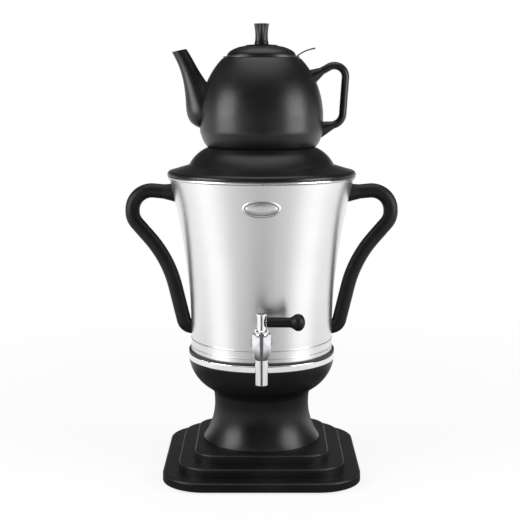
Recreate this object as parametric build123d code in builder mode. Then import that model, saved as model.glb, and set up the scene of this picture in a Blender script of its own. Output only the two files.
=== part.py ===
from build123d import *
import math
import os

# An electric samovar: a flared steel water tank with a lever tap, on a bowl, a waisted column
# and a square three-tier plinth, with a teapot that stands in the steam on the tank's lid.
# Millimetres, +Z up. The tank's axis is Z, the tap points to -Y and Z is 0 where the feet stand.

os.makedirs("parts", exist_ok=True)

# ---- Driving dimensions ----

# Plinth and its cover
plinth_width = 199.0
ledge = 15.75
lip_height = 9.0
tier_height = 9.0
lip_corner = 44.0
corner_step = 9.0
plinth_wall = 3.0
plinth_edge = 2.2
foot_standout = 2.0
foot_inset = 31.5
foot_r = 9.0
foot_stem_r = 3.0
cover_recess = 1.0
cover_thickness = 2.0
cover_gap = 0.4
cover_screw_inset = 26.5
cover_screw_head_height = 1.8
cover_slot_length = 40.0
cover_slot_width = 4.0
cover_slot_pitch = 12.0
cover_slot_count = 5

# Column
column_height = 49.0
column_foot_r = 60.5
column_foot_edge = 1.5
column_waist_r = 48.8
column_waist_height = 38.0
column_top_r = 49.6
column_wall = 3.0
column_boss_r = 4.5
column_boss_height = 22.0

# Heater housing, band and seal
bowl_height = 36.7
bowl_rim_r = 75.4
bowl_foot_lean = 22.8
bowl_throat_out = 5.8
bowl_throat_rise = 6.7
bowl_wall = 3.0
wire_hole_r = 26.0
band_height = 7.3
band_r = 75.8
band_edge = 1.2
seal_height = 2.3
seal_set_back = 0.4
seal_land = 1.6

# Rear panel with the mains inlet and the switch
panel_width = 54.0
panel_height = 27.0
panel_top_gap = 1.7
panel_y = 78.0
panel_wall = 2.5
panel_depth = 30.0
inlet_x = -10.0
inlet_width = 28.0
inlet_height = 21.0
inlet_flange = 1.5
inlet_depth = 19.0
inlet_wall = 2.0
socket_depth = 16.0
pin_pitch = 14.0
pin_width = 2.0
pin_height = 4.0
pin_offset = 2.0
pin_tail = 8.0
switch_x = 16.0
switch_width = 13.0
switch_height = 19.0
switch_depth = 16.0
switch_wall = 1.5
bezel = 1.5
rocker_gap = 0.3
rocker_slack = 1.2
rocker_lift = 1.45
rocker_root = 3.0
peg_r = 1.0
peg_play = 0.05

# Tank
tank_height = 179.7
tank_foot_r = 73.1
tank_waist_r = 72.6
tank_waist_height = 14.0
tank_mouth_r = 94.3
tank_wall = 1.0
rim_bead_r = 1.8
bottom_lift = 8.0
bottom_thickness = 1.2

# Heating element below the tank
heater_gap = 0.9
heater_thickness = 4.0
tube_inset = 9.0
tube_r = 3.3
tube_arc = 320.0
tube_leg = 12.0
tube_sink = 0.7
insulator_r = 4.5
insulator_height = 5.0
thermostat_r = 8.0
thermostat_height = 9.0
fuse_r = 2.0
fuse_length = 11.0
blade_length = 7.0
blade_width = 4.8
blade_thickness = 0.8
rod_gap = 0.4
rod_r = 2.5
nut_height = 4.0
nut_r = 4.5
rod_tail = 7.0
wire_r = 1.3
lead_bend = 7.0
lead_turn_r = 3.0

# Side handles
grip_r = 7.4
handle_reach = 131.8
handle_top_height = 160.7
handle_low_height = 25.5
handle_arch = 5.0
grip_lean = 0.5
grip_drop = 25.4
arm_out = 23.2
arm_rise = 67.5
toe_out = 6.6
toe_drop = 2.2
crook_top_r = 20.0
crook_low_r = 18.0
back_r = 120.0
toe_bend_r = 9.0
collar_r = 10.8
collar_length = 21.0
screw_r = 2.0
screw_head_r = 3.8
screw_head_height = 2.4
screw_length = 18.0
handle_bite = 8.0
washer_r = 5.5
washer_thickness = 1.2
screw_clearance = 0.1

# Badge
badge_width = 37.0
badge_height = 15.5
badge_drop = 26.2
badge_thickness = 1.0
badge_rim_width = 1.8
badge_rim_thickness = 1.7

# Tap
tap_height = 23.0
tap_standoff = 19.0
barrel_r = 9.3
barrel_end_r = 8.8
barrel_low_r = 7.6
barrel_up = 11.0
barrel_down = 11.5
outlet_r = 6.2
outlet_bore_r = 4.0
outlet_length = 28.0
outlet_edge = 0.6
shoulder_drop = 3.0
shank_r = 7.0
shank_bore_r = 4.5
tap_flange_r = 10.5
tap_flange_thickness = 3.0
gasket_thickness = 2.0
tap_nut_r = 11.5
tap_nut_thickness = 5.0
shank_end = 2.0
plug_r = 6.0
plug_play = 0.05
plug_floor = 2.8
port_r = 3.2
plug_seal_depth = 1.4
plug_seal_height = 1.8
bonnet_r = 6.8
bonnet_height = 4.0
bonnet_edge = 0.8
stem_r = 4.2
lever_rise = 22.1
lever_pin_r = 2.0
grip_start = 4.8
grip_length = 37.0
grip_neck_r = 4.9
lever_knob_r = 8.4
lever_knob_length = 15.5
lever_knob_nose = 6.6
stem_cap_r = 4.7
stem_cap_height = 2.2

# Samovar lid
lid_gap = 0.3
brim_r = 95.9
brim_edge_height = 5.0
brim_inner_r = 73.8
brim_rise = 5.3
brim_round = 4.5
crown_height = 27.3
crown_bulge = 2.0
crown_rim = 1.8
crown_edge = 0.8
crown_thickness = 3.9
well_gap = 0.6
well_depth = 7.6
lid_wall = 2.6
seat_width = 9.0
steam_ledge = 5.0
slot_length = 12.0
slot_width = 2.4
skirt_depth = 7.0
skirt_gap = 1.6
steam_plate_thickness = 1.2
steam_slots = 16
gasket_height = 3.0
gasket_gap = 0.5

# Teapot
pot_r = 62.3
heel_run = 25.7
heel_rise = 28.0
foot_inner_r = 30.6
belly_band = 10.0
neck_r = 39.4
pot_height = 96.5
pot_wall = 3.6
foot_ring_depth = 1.6
mouth_bore_r = 31.5
gallery_width = 3.8
mouth_collar = 4.0
strainer_play = 0.4
spout_wall = 2.4
spout_hole_r = 2.2
spout_hole_pitch = 6.5
spout_holes_rise = 52.0
spout_tip_r = 6.7
spout_bulge = 12.7
spout_bulge_share = 0.22
spout_root_in = 15.0
spout_root_rise = 25.7
spout_bend_out = 4.6
spout_bend_rise = 70.0
spout_tip_out = 19.9
spout_tip_rise = 104.4
spout_tip_slope = 0.22
spout_tip_lean = 0.85
spout_root_lean = 0.5
spout_stations = 9
ear_width = 11.0
ear_thickness = 7.7
ear_out = 22.7
ear_lean = 3.4
ear_top_in = 10.3
ear_top_rise = 90.3
ear_arch = 13.5
ear_low_rise = 25.5
ear_root_in = 4.0
ear_crest_share = 0.42
ear_top_bend_r = 11.0
ear_low_bend_r = 12.0
lug_width = 14.0
lug_height = 17.0
lug_length = 15.0
pot_lid_seam = 0.5
flange_r = 38.5
flange_thickness = 1.5
dome_r = 35.0
dome_rise = 12.2
pot_lid_wall = 3.2
locating_ring_depth = 5.0
locating_ring_wall = 2.2

# Strainer
strainer_rim_thickness = 1.0
strainer_wall = 0.8
strainer_depth = 44.0
strainer_rows = 3
strainer_slots = 16
strainer_slot_width = 2.0
strainer_slot_height = 7.0
strainer_hole_pitch = 7.0
strainer_hole_rows = 5
tab_width = 11.0
tab_thickness = 1.3
tab_root = 2.5
tab_reach = 21.5
tab_rise = 10.5
tab_slope = 0.12
notch_play = 0.8
notch_height = 5.2

# Teapot lid knob
knob_height = 20.6
knob_base_r = 7.4
knob_neck_r = 6.8
knob_top_r = 8.5
knob_flutes = 8
flute_depth = 0.6
flute_r = 2.4
knob_edge = 1.2


def write_piece(piece, name):
    """Names a finished piece and writes it."""
    piece.part.label = name
    export_step(piece.part, f"parts/{name}.step")


def side_bow(run, rise):
    """Radius of the arc that leaves a waist upright and is out by run after rise."""
    return (rise**2 + run**2) / (2 * run)


def waisted_r(z, waist, low, high):
    """Radius at z of a waisted side, from the (radius, height) of its waist and its two ends."""
    end = low if z < waist[1] else high
    bow = side_bow(end[0] - waist[0], abs(end[1] - waist[1]))
    return waist[0] + bow - math.sqrt(bow**2 - (z - waist[1]) ** 2)


def waisted_side(inset, waist, low, high, from_z, to_z):
    """Draws a waisted side, moved in by inset, from one height up to another."""

    def place(z):
        return (waisted_r(z, waist, low, high) - inset, z)

    if from_z < waist[1]:
        turn_z = min(waist[1], to_z)
        ThreePointArc(place(from_z), place((from_z + turn_z) / 2), place(turn_z))
    if to_z > waist[1]:
        turn_z = max(waist[1], from_z)
        ThreePointArc(place(turn_z), place((turn_z + to_z) / 2), place(to_z))
    return place(from_z), place(to_z)


def round_side(centre, run, rise, start, end):
    """Draws a part of an ellipse's outline, from one angle in degrees to another."""

    def place(angle):
        turn = math.radians(angle)
        return (centre[0] + run * math.cos(turn), centre[1] + rise * math.sin(turn))

    def heading(angle):
        turn = math.radians(angle)
        return (-run * math.sin(turn), rise * math.cos(turn))

    angles = [start + (end - start) * share / 6 for share in range(7)]
    Spline(*[place(angle) for angle in angles], tangents=[heading(start), heading(end)])
    return place(end)


# ---- Heights and radii that follow ----

cover_z = foot_standout + cover_recess
cover_top = cover_z + cover_thickness
lip_top = foot_standout + lip_height
deck_z = lip_top + 2 * tier_height
foot_pitch = plinth_width - 2 * foot_inset
cover_screw_circle_r = plinth_width / 2 - cover_screw_inset
column_boss_circle_r = column_waist_r - column_boss_r
rod_circle_r = column_waist_r - column_wall - nut_r - rod_gap
heater_r = rod_circle_r - rod_r - heater_gap
tube_circle_r = heater_r - tube_inset
column_top = deck_z + column_height
column_waist = (column_waist_r, deck_z + column_waist_height)
column_low = (column_foot_r, deck_z + column_foot_edge)
column_high = (column_top_r, column_top)
bowl_top = column_top + bowl_height
band_top = bowl_top + band_height
tank_z = band_top + seal_height
tank_top = tank_z + tank_height
tank_waist = (tank_waist_r, tank_z + tank_waist_height)
tank_low = (tank_foot_r, tank_z)
tank_high = (tank_mouth_r, tank_top - rim_bead_r)
bottom_top = tank_z + bottom_lift
bottom_under = bottom_top - bottom_thickness
heater_under = bottom_under - heater_thickness


def tank_r(z):
    """Outer radius of the tank's wall at height z."""
    return waisted_r(z, tank_waist, tank_low, tank_high)


# =====================================================================================
# Plinth: a black moulded shell in three concentric tiers, open below
# =====================================================================================
tiers = []
for step in range(3):
    half = plinth_width / 2 - step * ledge
    corner = lip_corner - step * corner_step
    top = lip_top + step * tier_height
    tiers.append((half, corner, top))
middle_under = tiers[1][2] - plinth_wall

with BuildPart() as plinth:
    low = foot_standout
    for half, corner, top in tiers:
        with BuildSketch(Plane.XY.offset(low)):
            RectangleRounded(2 * half, 2 * half, corner)
        extrude(amount=top - low)
        fillet(plinth.faces().sort_by(Axis.Z)[-1].edges(), plinth_edge)
        low = top
    for half, corner, top in tiers:
        with BuildSketch(Plane.XY.offset(foot_standout)):
            inner = 2 * (half - plinth_wall)
            RectangleRounded(inner, inner, corner - plinth_wall)
        extrude(amount=top - plinth_wall - foot_standout, mode=Mode.SUBTRACT)
    with BuildSketch(Plane.XY.offset(cover_top)):
        with PolarLocations(cover_screw_circle_r, 4):
            Circle(column_boss_r)
    extrude(amount=middle_under - cover_top)
    with BuildSketch(Plane.XY.offset(cover_top)):
        with PolarLocations(cover_screw_circle_r, 4):
            Circle(screw_r + screw_clearance)
    extrude(amount=middle_under - cover_top, mode=Mode.SUBTRACT)
    with BuildSketch(Plane.XY.offset(deck_z - plinth_wall)):
        with PolarLocations(column_boss_circle_r, 4, start_angle=45):
            Circle(screw_r + screw_clearance)
        Circle(wire_hole_r)
    extrude(amount=plinth_wall, mode=Mode.SUBTRACT)
write_piece(plinth, "plinth")

# =====================================================================================
# Base cover: a flat plate with air slots, inside the plinth's rim
# =====================================================================================
cover_half = plinth_width / 2 - plinth_wall - cover_gap

with BuildPart() as base_cover:
    with BuildSketch(Plane.XY.offset(cover_z)):
        RectangleRounded(2 * cover_half, 2 * cover_half, lip_corner - plinth_wall - cover_gap)
        with GridLocations(foot_pitch, foot_pitch, 2, 2):
            Circle(foot_stem_r, mode=Mode.SUBTRACT)
        with PolarLocations(cover_screw_circle_r, 4):
            Circle(screw_r + screw_clearance, mode=Mode.SUBTRACT)
        with GridLocations(0, cover_slot_pitch, 1, cover_slot_count):
            SlotOverall(cover_slot_length, cover_slot_width, mode=Mode.SUBTRACT)
    extrude(amount=cover_thickness)
write_piece(base_cover, "base_cover")

# Cover screws: four pan heads below the plate, clear of the table
with BuildPart() as base_cover_screws:
    with BuildSketch(Plane.XY.offset(cover_z)):
        with PolarLocations(cover_screw_circle_r, 4):
            Circle(screw_head_r)
    extrude(amount=-cover_screw_head_height)
    with BuildSketch(Plane.XY.offset(cover_z)):
        with PolarLocations(cover_screw_circle_r, 4):
            Circle(screw_r)
    extrude(amount=middle_under - cover_z - screw_clearance)
write_piece(base_cover_screws, "base_cover_screws")

# Feet: rubber pads, each with a stem pressed through the cover
foot_places = {
    "foot_front_left": (-1, -1),
    "foot_front_right": (1, -1),
    "foot_back_left": (-1, 1),
    "foot_back_right": (1, 1),
}
for foot_name, (side_x, side_y) in foot_places.items():
    with BuildPart() as foot:
        with Locations((side_x * foot_pitch / 2, side_y * foot_pitch / 2)):
            Cylinder(foot_r, cover_z, align=(Align.CENTER, Align.CENTER, Align.MIN))
            stem_height = cover_z + 2 * cover_thickness
            Cylinder(foot_stem_r, stem_height, align=(Align.CENTER, Align.CENTER, Align.MIN))
        fillet(foot.edges().group_by(Axis.Z)[0], cover_recess / 2)
    write_piece(foot, foot_name)

# =====================================================================================
# Column: a waisted black moulding with a top plate and four screw bosses inside
# =====================================================================================
with BuildPart() as column:
    with BuildSketch(Plane.XZ):
        with BuildLine():
            low_end, high_end = waisted_side(
                0, column_waist, column_low, column_high, column_low[1], column_top
            )
            Polyline(high_end, (0, column_top), (0, deck_z), (column_foot_r, deck_z), low_end)
        make_face()
    revolve(axis=Axis.Z)
    with BuildSketch(Plane.XZ):
        with BuildLine():
            plate_under = column_top - column_wall
            low_end, high_end = waisted_side(
                column_wall, column_waist, column_low, column_high, column_low[1], plate_under
            )
            Polyline(
                high_end, (0, plate_under), (0, deck_z), (column_foot_r - column_wall, deck_z), low_end
            )
        make_face()
    revolve(axis=Axis.Z, mode=Mode.SUBTRACT)
    with BuildSketch(Plane.XY.offset(deck_z)):
        with PolarLocations(column_boss_circle_r, 4, start_angle=45):
            Circle(column_boss_r)
    extrude(amount=column_boss_height)
    with BuildSketch(Plane.XY.offset(deck_z)):
        with PolarLocations(column_boss_circle_r, 4, start_angle=45):
            Circle(screw_r + screw_clearance)
    extrude(amount=column_boss_height - column_wall, mode=Mode.SUBTRACT)
    with BuildSketch(Plane.XY.offset(column_top)):
        Circle(wire_hole_r)
        with PolarLocations(rod_circle_r, 3, start_angle=30):
            Circle(rod_r + screw_clearance)
    extrude(amount=-column_wall, mode=Mode.SUBTRACT)
write_piece(column, "column")

# Column screws: four, up through the plinth's deck into the bosses
with BuildPart() as column_screws:
    deck_under = deck_z - plinth_wall
    with BuildSketch(Plane.XY.offset(deck_under)):
        with PolarLocations(column_boss_circle_r, 4, start_angle=45):
            Circle(screw_head_r)
    extrude(amount=-screw_head_height)
    with BuildSketch(Plane.XY.offset(deck_under)):
        with PolarLocations(column_boss_circle_r, 4, start_angle=45):
            Circle(screw_r)
    extrude(amount=screw_length)
write_piece(column_screws, "column_screws")

# =====================================================================================
# Heater housing: the black bowl under the tank, with a flat rear panel
# =====================================================================================
panel_z = bowl_top - panel_top_gap - panel_height / 2
panel_inner_y = panel_y - panel_wall


def bowl_outline(inset):
    """Draws the bowl's half section, moved in by inset: a flaring throat and a bulging side."""
    lean = math.radians(bowl_foot_lean)
    slope = 2 * math.atan2(bowl_throat_out, bowl_throat_rise) - lean
    throat_r = column_top_r + bowl_throat_out
    throat_z = column_top + bowl_throat_rise
    foot = (column_top_r - inset * math.cos(lean), column_top + inset * math.sin(lean))
    throat = (throat_r - inset * math.cos(slope), throat_z + inset * math.sin(slope))
    rim = (bowl_rim_r - inset, bowl_top)
    TangentArc(foot, throat, tangent=(math.sin(lean), math.cos(lean)))
    TangentArc(throat, rim, tangent=(math.sin(slope), math.cos(slope)))
    Polyline(rim, (0, bowl_top), (0, foot[1]), foot)


with BuildPart() as heater_housing:
    with BuildSketch(Plane.XZ):
        with BuildLine():
            bowl_outline(0)
        make_face()
    revolve(axis=Axis.Z)
    with BuildSketch(Plane.XZ.offset(-panel_y)):
        with Locations((0, panel_z)):
            RectangleRounded(panel_width, panel_height, 2 * panel_wall)
    extrude(amount=panel_depth)
    with BuildSketch(Plane.XZ):
        with BuildLine():
            bowl_outline(bowl_wall)
        make_face()
    revolve(axis=Axis.Z, mode=Mode.SUBTRACT)
    with BuildSketch(Plane.XZ.offset(-panel_inner_y)):
        with Locations((0, panel_z)):
            Rectangle(panel_width - 2 * panel_wall, panel_height - 2 * panel_wall)
    extrude(amount=panel_depth, mode=Mode.SUBTRACT)
    with BuildSketch(Plane.XZ.offset(-panel_y)):
        with Locations((inlet_x, panel_z)):
            Rectangle(inlet_width, inlet_height)
        with Locations((switch_x, panel_z)):
            Rectangle(switch_width, switch_height)
    extrude(amount=panel_wall, mode=Mode.SUBTRACT)
    with BuildSketch(Plane.XY.offset(column_top)):
        Circle(column_top_r)
    extrude(amount=bowl_wall)
    with BuildSketch(Plane.XY.offset(column_top)):
        Circle(wire_hole_r)
        with PolarLocations(rod_circle_r, 3, start_angle=30):
            Circle(rod_r + screw_clearance)
    extrude(amount=bowl_wall, mode=Mode.SUBTRACT)
write_piece(heater_housing, "heater_housing")

# Chrome band: a bright trim ring on the bowl's rim
band_inner_r = tank_foot_r - tank_wall - seal_land
with BuildPart() as chrome_band:
    with BuildSketch(Plane.XY.offset(bowl_top)):
        Circle(band_r)
        Circle(band_inner_r, mode=Mode.SUBTRACT)
    extrude(amount=band_height)
    fillet(chrome_band.edges().filter_by(GeomType.CIRCLE).sort_by(SortBy.RADIUS)[-2:], band_edge)
write_piece(chrome_band, "chrome_band")

# Tank seal: a dark silicone ring between the band and the tank
with BuildPart() as tank_seal:
    with BuildSketch(Plane.XY.offset(band_top)):
        Circle(band_r - seal_set_back)
        Circle(band_inner_r, mode=Mode.SUBTRACT)
    extrude(amount=seal_height)
write_piece(tank_seal, "tank_seal")

# =====================================================================================
# Tank: a flared steel wall with a rolled rim, and a pressed bottom welded into it
# =====================================================================================
tap_z = tank_z + tap_height
handle_top_z = tank_z + handle_top_height
handle_low_z = tank_z + handle_low_height
bead_r = tank_mouth_r - tank_wall / 2
bead_z = tank_top - rim_bead_r

with BuildPart() as tank_outside:
    with BuildSketch(Plane.XZ):
        with BuildLine():
            low_end, high_end = waisted_side(0, tank_waist, tank_low, tank_high, tank_z, tank_high[1])
            Polyline(high_end, (0, tank_high[1]), (0, tank_z), low_end)
        make_face()
    revolve(axis=Axis.Z)

with BuildPart() as tank_inside:
    with BuildSketch(Plane.XZ):
        with BuildLine():
            low_end, high_end = waisted_side(
                tank_wall, tank_waist, tank_low, tank_high, tank_z, tank_high[1]
            )
            Polyline(high_end, (0, tank_high[1]), (0, tank_z), low_end)
        make_face()
    revolve(axis=Axis.Z)

with BuildPart() as tank_shell:
    add(tank_outside.part)
    add(tank_inside.part, mode=Mode.SUBTRACT)
    with BuildSketch(Plane.XZ):
        with Locations((bead_r, bead_z)):
            Circle(rim_bead_r)
    revolve(axis=Axis.Z)
    with Locations(Plane.XZ.offset(tank_r(tap_z) / 2) * Location((0, tap_z))):
        Cylinder(
            shank_r + screw_clearance,
            tank_r(tap_z),
            align=(Align.CENTER, Align.CENTER, Align.MIN),
            mode=Mode.SUBTRACT,
        )
    for hole_z in (handle_top_z, handle_low_z):
        with Locations(Plane.YZ * Location((0, hole_z))):
            Cylinder(screw_r + screw_clearance, 3 * tank_mouth_r, mode=Mode.SUBTRACT)
write_piece(tank_shell, "tank_shell")

with BuildPart() as tank_bottom:
    add(tank_inside.part)
    split(bisect_by=Plane.XY.offset(bottom_top), keep=Keep.BOTTOM)
    with BuildSketch(Plane.XY.offset(tank_z)):
        Circle(tank_r(bottom_top) - tank_wall - bottom_thickness)
    extrude(amount=bottom_lift - bottom_thickness, mode=Mode.SUBTRACT)
write_piece(tank_bottom, "tank_bottom")

# =====================================================================================
# Heating element, cut-outs and the rods that hold tank, bowl and column together
# =====================================================================================
with BuildPart() as heater_plate:
    with BuildSketch(Plane.XY.offset(bottom_under)):
        Circle(heater_r)
    extrude(amount=-heater_thickness)
write_piece(heater_plate, "heater_plate")

# Heater tube: an open ring with a flat top, brazed to the plate, and two legs turned down
tube_z = heater_under - tube_sink * tube_r
leg_turn = (360 - tube_arc) / 2
leg_places = []
for turn in (90 + leg_turn, 90 - leg_turn):
    angle = math.radians(turn)
    leg_places.append((tube_circle_r * math.cos(angle), tube_circle_r * math.sin(angle)))
leg_end_z = tube_z - tube_leg

with BuildPart() as heater_tube:
    with BuildSketch(Plane.XZ.rotated((0, 0, 90 + leg_turn))):
        with Locations((tube_circle_r, tube_z)):
            Circle(tube_r)
    revolve(axis=Axis.Z, revolution_arc=tube_arc)
    for leg_x, leg_y in leg_places:
        with Locations((leg_x, leg_y, tube_z)):
            Sphere(tube_r)
            Cylinder(tube_r, tube_leg, align=(Align.CENTER, Align.CENTER, Align.MAX))
    split(bisect_by=Plane.XY.offset(heater_under), keep=Keep.BOTTOM)
write_piece(heater_tube, "heater_tube")

# Insulators: ceramic beads on the ends of the two legs
with BuildPart() as heater_insulators:
    with BuildSketch(Plane.XY.offset(leg_end_z)):
        with Locations(*leg_places):
            Circle(insulator_r)
    extrude(amount=-insulator_height)
write_piece(heater_insulators, "heater_insulators")

# Thermostat: a round bimetal cut-out below the middle of the plate, with two blades
blade_end_z = heater_under - thermostat_height - blade_length
with BuildPart() as thermostat:
    with Locations((0, 0, heater_under)):
        Cylinder(thermostat_r, thermostat_height, align=(Align.CENTER, Align.CENTER, Align.MAX))
    with BuildSketch(Plane.XY.offset(blade_end_z)):
        with GridLocations(thermostat_r, 0, 2, 1):
            Rectangle(blade_thickness, blade_width)
    extrude(amount=blade_length)
write_piece(thermostat, "thermostat")

# Thermal fuse: a sleeve with a flat side against the plate, between thermostat and tube
fuse_y = -(thermostat_r + tube_circle_r - tube_r) / 2
with BuildPart() as thermal_fuse:
    with BuildSketch(Plane.YZ.offset(-fuse_length / 2)):
        with Locations((fuse_y, heater_under - tube_sink * fuse_r)):
            Circle(fuse_r)
    extrude(amount=fuse_length)
    split(bisect_by=Plane.XY.offset(heater_under), keep=Keep.BOTTOM)
write_piece(thermal_fuse, "thermal_fuse")

# Tie rods: studs welded under the tank's bottom, down through bowl and column
nut_z = column_top - column_wall
with BuildPart() as tie_rods:
    with BuildSketch(Plane.XY.offset(bottom_under)):
        with PolarLocations(rod_circle_r, 3, start_angle=30):
            Circle(rod_r)
    extrude(amount=nut_z - rod_tail - bottom_under)
write_piece(tie_rods, "tie_rods")

with BuildPart() as tie_nuts:
    with BuildSketch(Plane.XY.offset(nut_z)):
        with PolarLocations(rod_circle_r, 3, start_angle=30):
            RegularPolygon(nut_r, 6)
            Circle(rod_r, mode=Mode.SUBTRACT)
    extrude(amount=-nut_height)
write_piece(tie_nuts, "tie_nuts")

# =====================================================================================
# Mains inlet and switch in the rear panel
# =====================================================================================
inlet_face_y = panel_y + inlet_flange
pin_back_y = panel_y - inlet_depth - pin_tail
live_x = inlet_x - pin_pitch / 2
neutral_x = inlet_x + pin_pitch / 2
earth_z = panel_z + pin_offset


def pin_sections():
    """Draws the three flat pins: the earth pin above the other two."""
    with Locations((inlet_x, earth_z)):
        Rectangle(pin_width, pin_height)
    with Locations((inlet_x, panel_z - pin_offset)):
        with GridLocations(pin_pitch, 0, 2, 1):
            Rectangle(pin_width, pin_height)


with BuildPart() as mains_inlet:
    with BuildSketch(Plane.XZ.offset(-panel_y)):
        with Locations((inlet_x, panel_z)):
            Rectangle(inlet_width, inlet_height)
    extrude(amount=inlet_depth)
    with BuildSketch(Plane.XZ.offset(-inlet_face_y)):
        with Locations((inlet_x, panel_z)):
            RectangleRounded(inlet_width + 2 * bezel, inlet_height + 2 * bezel, bezel)
    extrude(amount=inlet_flange)
    with BuildSketch(Plane.XZ.offset(-inlet_face_y)):
        with Locations((inlet_x, panel_z)):
            Rectangle(inlet_width - 2 * inlet_wall, inlet_height - 2 * inlet_wall)
    extrude(amount=socket_depth, mode=Mode.SUBTRACT)
    with BuildSketch(Plane.XZ.offset(-panel_y)):
        pin_sections()
    extrude(amount=inlet_depth, mode=Mode.SUBTRACT)
write_piece(mains_inlet, "mains_inlet")

pin_front_y = panel_y - inlet_wall
with BuildPart() as inlet_pins:
    with BuildSketch(Plane.XZ.offset(-pin_front_y)):
        pin_sections()
    extrude(amount=pin_front_y - pin_back_y)
write_piece(inlet_pins, "inlet_pins")

# Switch body: a snap-in frame with a well for the rocker and two holes for its pegs
switch_face_y = panel_y + bezel
switch_back_y = panel_y - switch_depth
well_width = switch_width - 2 * switch_wall
well_height = switch_height - 2 * switch_wall
with BuildPart() as switch_body:
    with BuildSketch(Plane.XZ.offset(-panel_y)):
        with Locations((switch_x, panel_z)):
            Rectangle(switch_width, switch_height)
    extrude(amount=switch_depth)
    with BuildSketch(Plane.XZ.offset(-switch_face_y)):
        with Locations((switch_x, panel_z)):
            RectangleRounded(switch_width + 2 * bezel, switch_height + 2 * bezel, bezel)
    extrude(amount=bezel)
    with BuildSketch(Plane.XZ.offset(-switch_face_y)):
        with Locations((switch_x, panel_z)):
            Rectangle(well_width, well_height)
    extrude(amount=switch_face_y - switch_back_y - switch_wall, mode=Mode.SUBTRACT)
    with Locations(Plane.YZ.offset(switch_x) * Location((panel_y - bezel, panel_z))):
        Cylinder(peg_r + peg_play, well_width + switch_wall, mode=Mode.SUBTRACT)
write_piece(switch_body, "switch_body")

# Rocker: a key that tips about its pegs, with its lower end standing out
rocker_width = well_width - 2 * rocker_gap
rocker_reach = well_height / 2 - rocker_slack
rocker_axis_y = panel_y - bezel
with BuildPart() as rocker:
    with BuildSketch(Plane.YZ.offset(switch_x - rocker_width / 2)):
        with BuildLine():
            Polyline(
                (rocker_axis_y - rocker_root, panel_z - rocker_root),
                (panel_y, panel_z - rocker_reach),
                (switch_face_y + rocker_lift, panel_z - rocker_reach),
                (switch_face_y, panel_z),
                (switch_face_y, panel_z + rocker_reach),
                (rocker_axis_y, panel_z + rocker_reach),
                (rocker_axis_y - rocker_root, panel_z + rocker_root),
                close=True,
            )
        make_face()
    extrude(amount=rocker_width)
    with Locations(Plane.YZ.offset(switch_x) * Location((rocker_axis_y, panel_z))):
        Cylinder(peg_r, well_width + switch_wall / 2)
write_piece(rocker, "rocker")

# Wiring: leads from the inlet's pins to the switch, the cut-out, the element and earth
pin_z = panel_z - pin_offset
lead_low_z = leg_end_z - insulator_height
leg_left, leg_right = leg_places[0], leg_places[1]
blade_x = thermostat_r / 2
earth_y = rod_circle_r
routes = [
    [
        (live_x, pin_back_y, pin_z),
        (live_x, leg_left[1], pin_z),
        (leg_left[0], leg_left[1], pin_z),
        (leg_left[0], leg_left[1], lead_low_z),
    ],
    [
        (inlet_x, pin_back_y, earth_z),
        (inlet_x, earth_y, earth_z),
        (inlet_x, earth_y, bottom_under),
    ],
    [
        (neutral_x, pin_back_y, pin_z),
        (neutral_x, pin_back_y - lead_bend, pin_z),
        (switch_x, pin_back_y - lead_bend, pin_z),
        (switch_x, switch_back_y, pin_z),
    ],
    [
        (switch_x, switch_back_y, earth_z),
        (switch_x, leg_right[1], earth_z),
        (leg_right[0], leg_right[1], earth_z),
        (leg_right[0], leg_right[1], lead_low_z),
    ],
    [
        (-blade_x, 0, blade_end_z),
        (-blade_x, 0, blade_end_z - lead_bend),
        (-blade_x - lead_bend, fuse_y, blade_end_z - lead_bend),
        (-blade_x - lead_bend, fuse_y, heater_under - tube_sink * fuse_r),
        (-fuse_length / 2, fuse_y, heater_under - tube_sink * fuse_r),
    ],
]
with BuildPart() as wiring:
    for route in routes:
        with BuildLine() as lead:
            FilletPolyline(*route, radius=lead_turn_r)
        with BuildSketch(Plane(origin=lead.line @ 0, z_dir=lead.line % 0)):
            Circle(wire_r)
        sweep(path=lead.line)
write_piece(wiring, "wiring")

# =====================================================================================
# Side handles: black S-shaped grips, screwed on from inside the tank
# =====================================================================================
handle_root_r = tank_r(handle_top_z)
handle_toe_r = tank_r(handle_low_z)


def handle_piece(side):
    """Makes the side handle on the side of the tank where x has the sign of side."""
    with BuildPart() as grip:
        with BuildLine() as spine:
            FilletPolyline(
                (side * (handle_root_r - collar_length / 2), 0, handle_top_z),
                (side * handle_reach, 0, handle_top_z + handle_arch),
                (side * (handle_reach + grip_lean), 0, handle_top_z - grip_drop),
                (side * (handle_toe_r + arm_out), 0, handle_low_z + arm_rise),
                (side * (handle_toe_r + toe_out), 0, handle_low_z - toe_drop),
                (side * (handle_toe_r - grip_r), 0, handle_low_z - 2 * toe_drop),
                radius=[crook_top_r, crook_low_r, back_r, toe_bend_r],
            )
        with BuildSketch(Plane(origin=spine.line @ 0, z_dir=spine.line % 0)):
            Circle(grip_r)
        sweep(path=spine.line)
        collar_dir = (spine.line % 0).normalized()
        with BuildSketch(Plane(origin=spine.line @ 0, z_dir=collar_dir)):
            Circle(collar_r)
        with BuildSketch(Plane(origin=spine.line @ 0 + collar_dir * collar_length, z_dir=collar_dir)):
            Circle(grip_r)
        loft()
        add(tank_outside.part, mode=Mode.SUBTRACT)
        for hole_z in (handle_top_z, handle_low_z):
            with Locations(Plane.YZ * Location((0, hole_z))):
                bore_length = 2 * (tank_r(hole_z) + handle_bite + screw_clearance)
                Cylinder(screw_r + screw_clearance, bore_length, mode=Mode.SUBTRACT)
    return grip


handle_left = handle_piece(-1)
write_piece(handle_left, "handle_left")

handle_right = handle_piece(1)
write_piece(handle_right, "handle_right")

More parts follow.
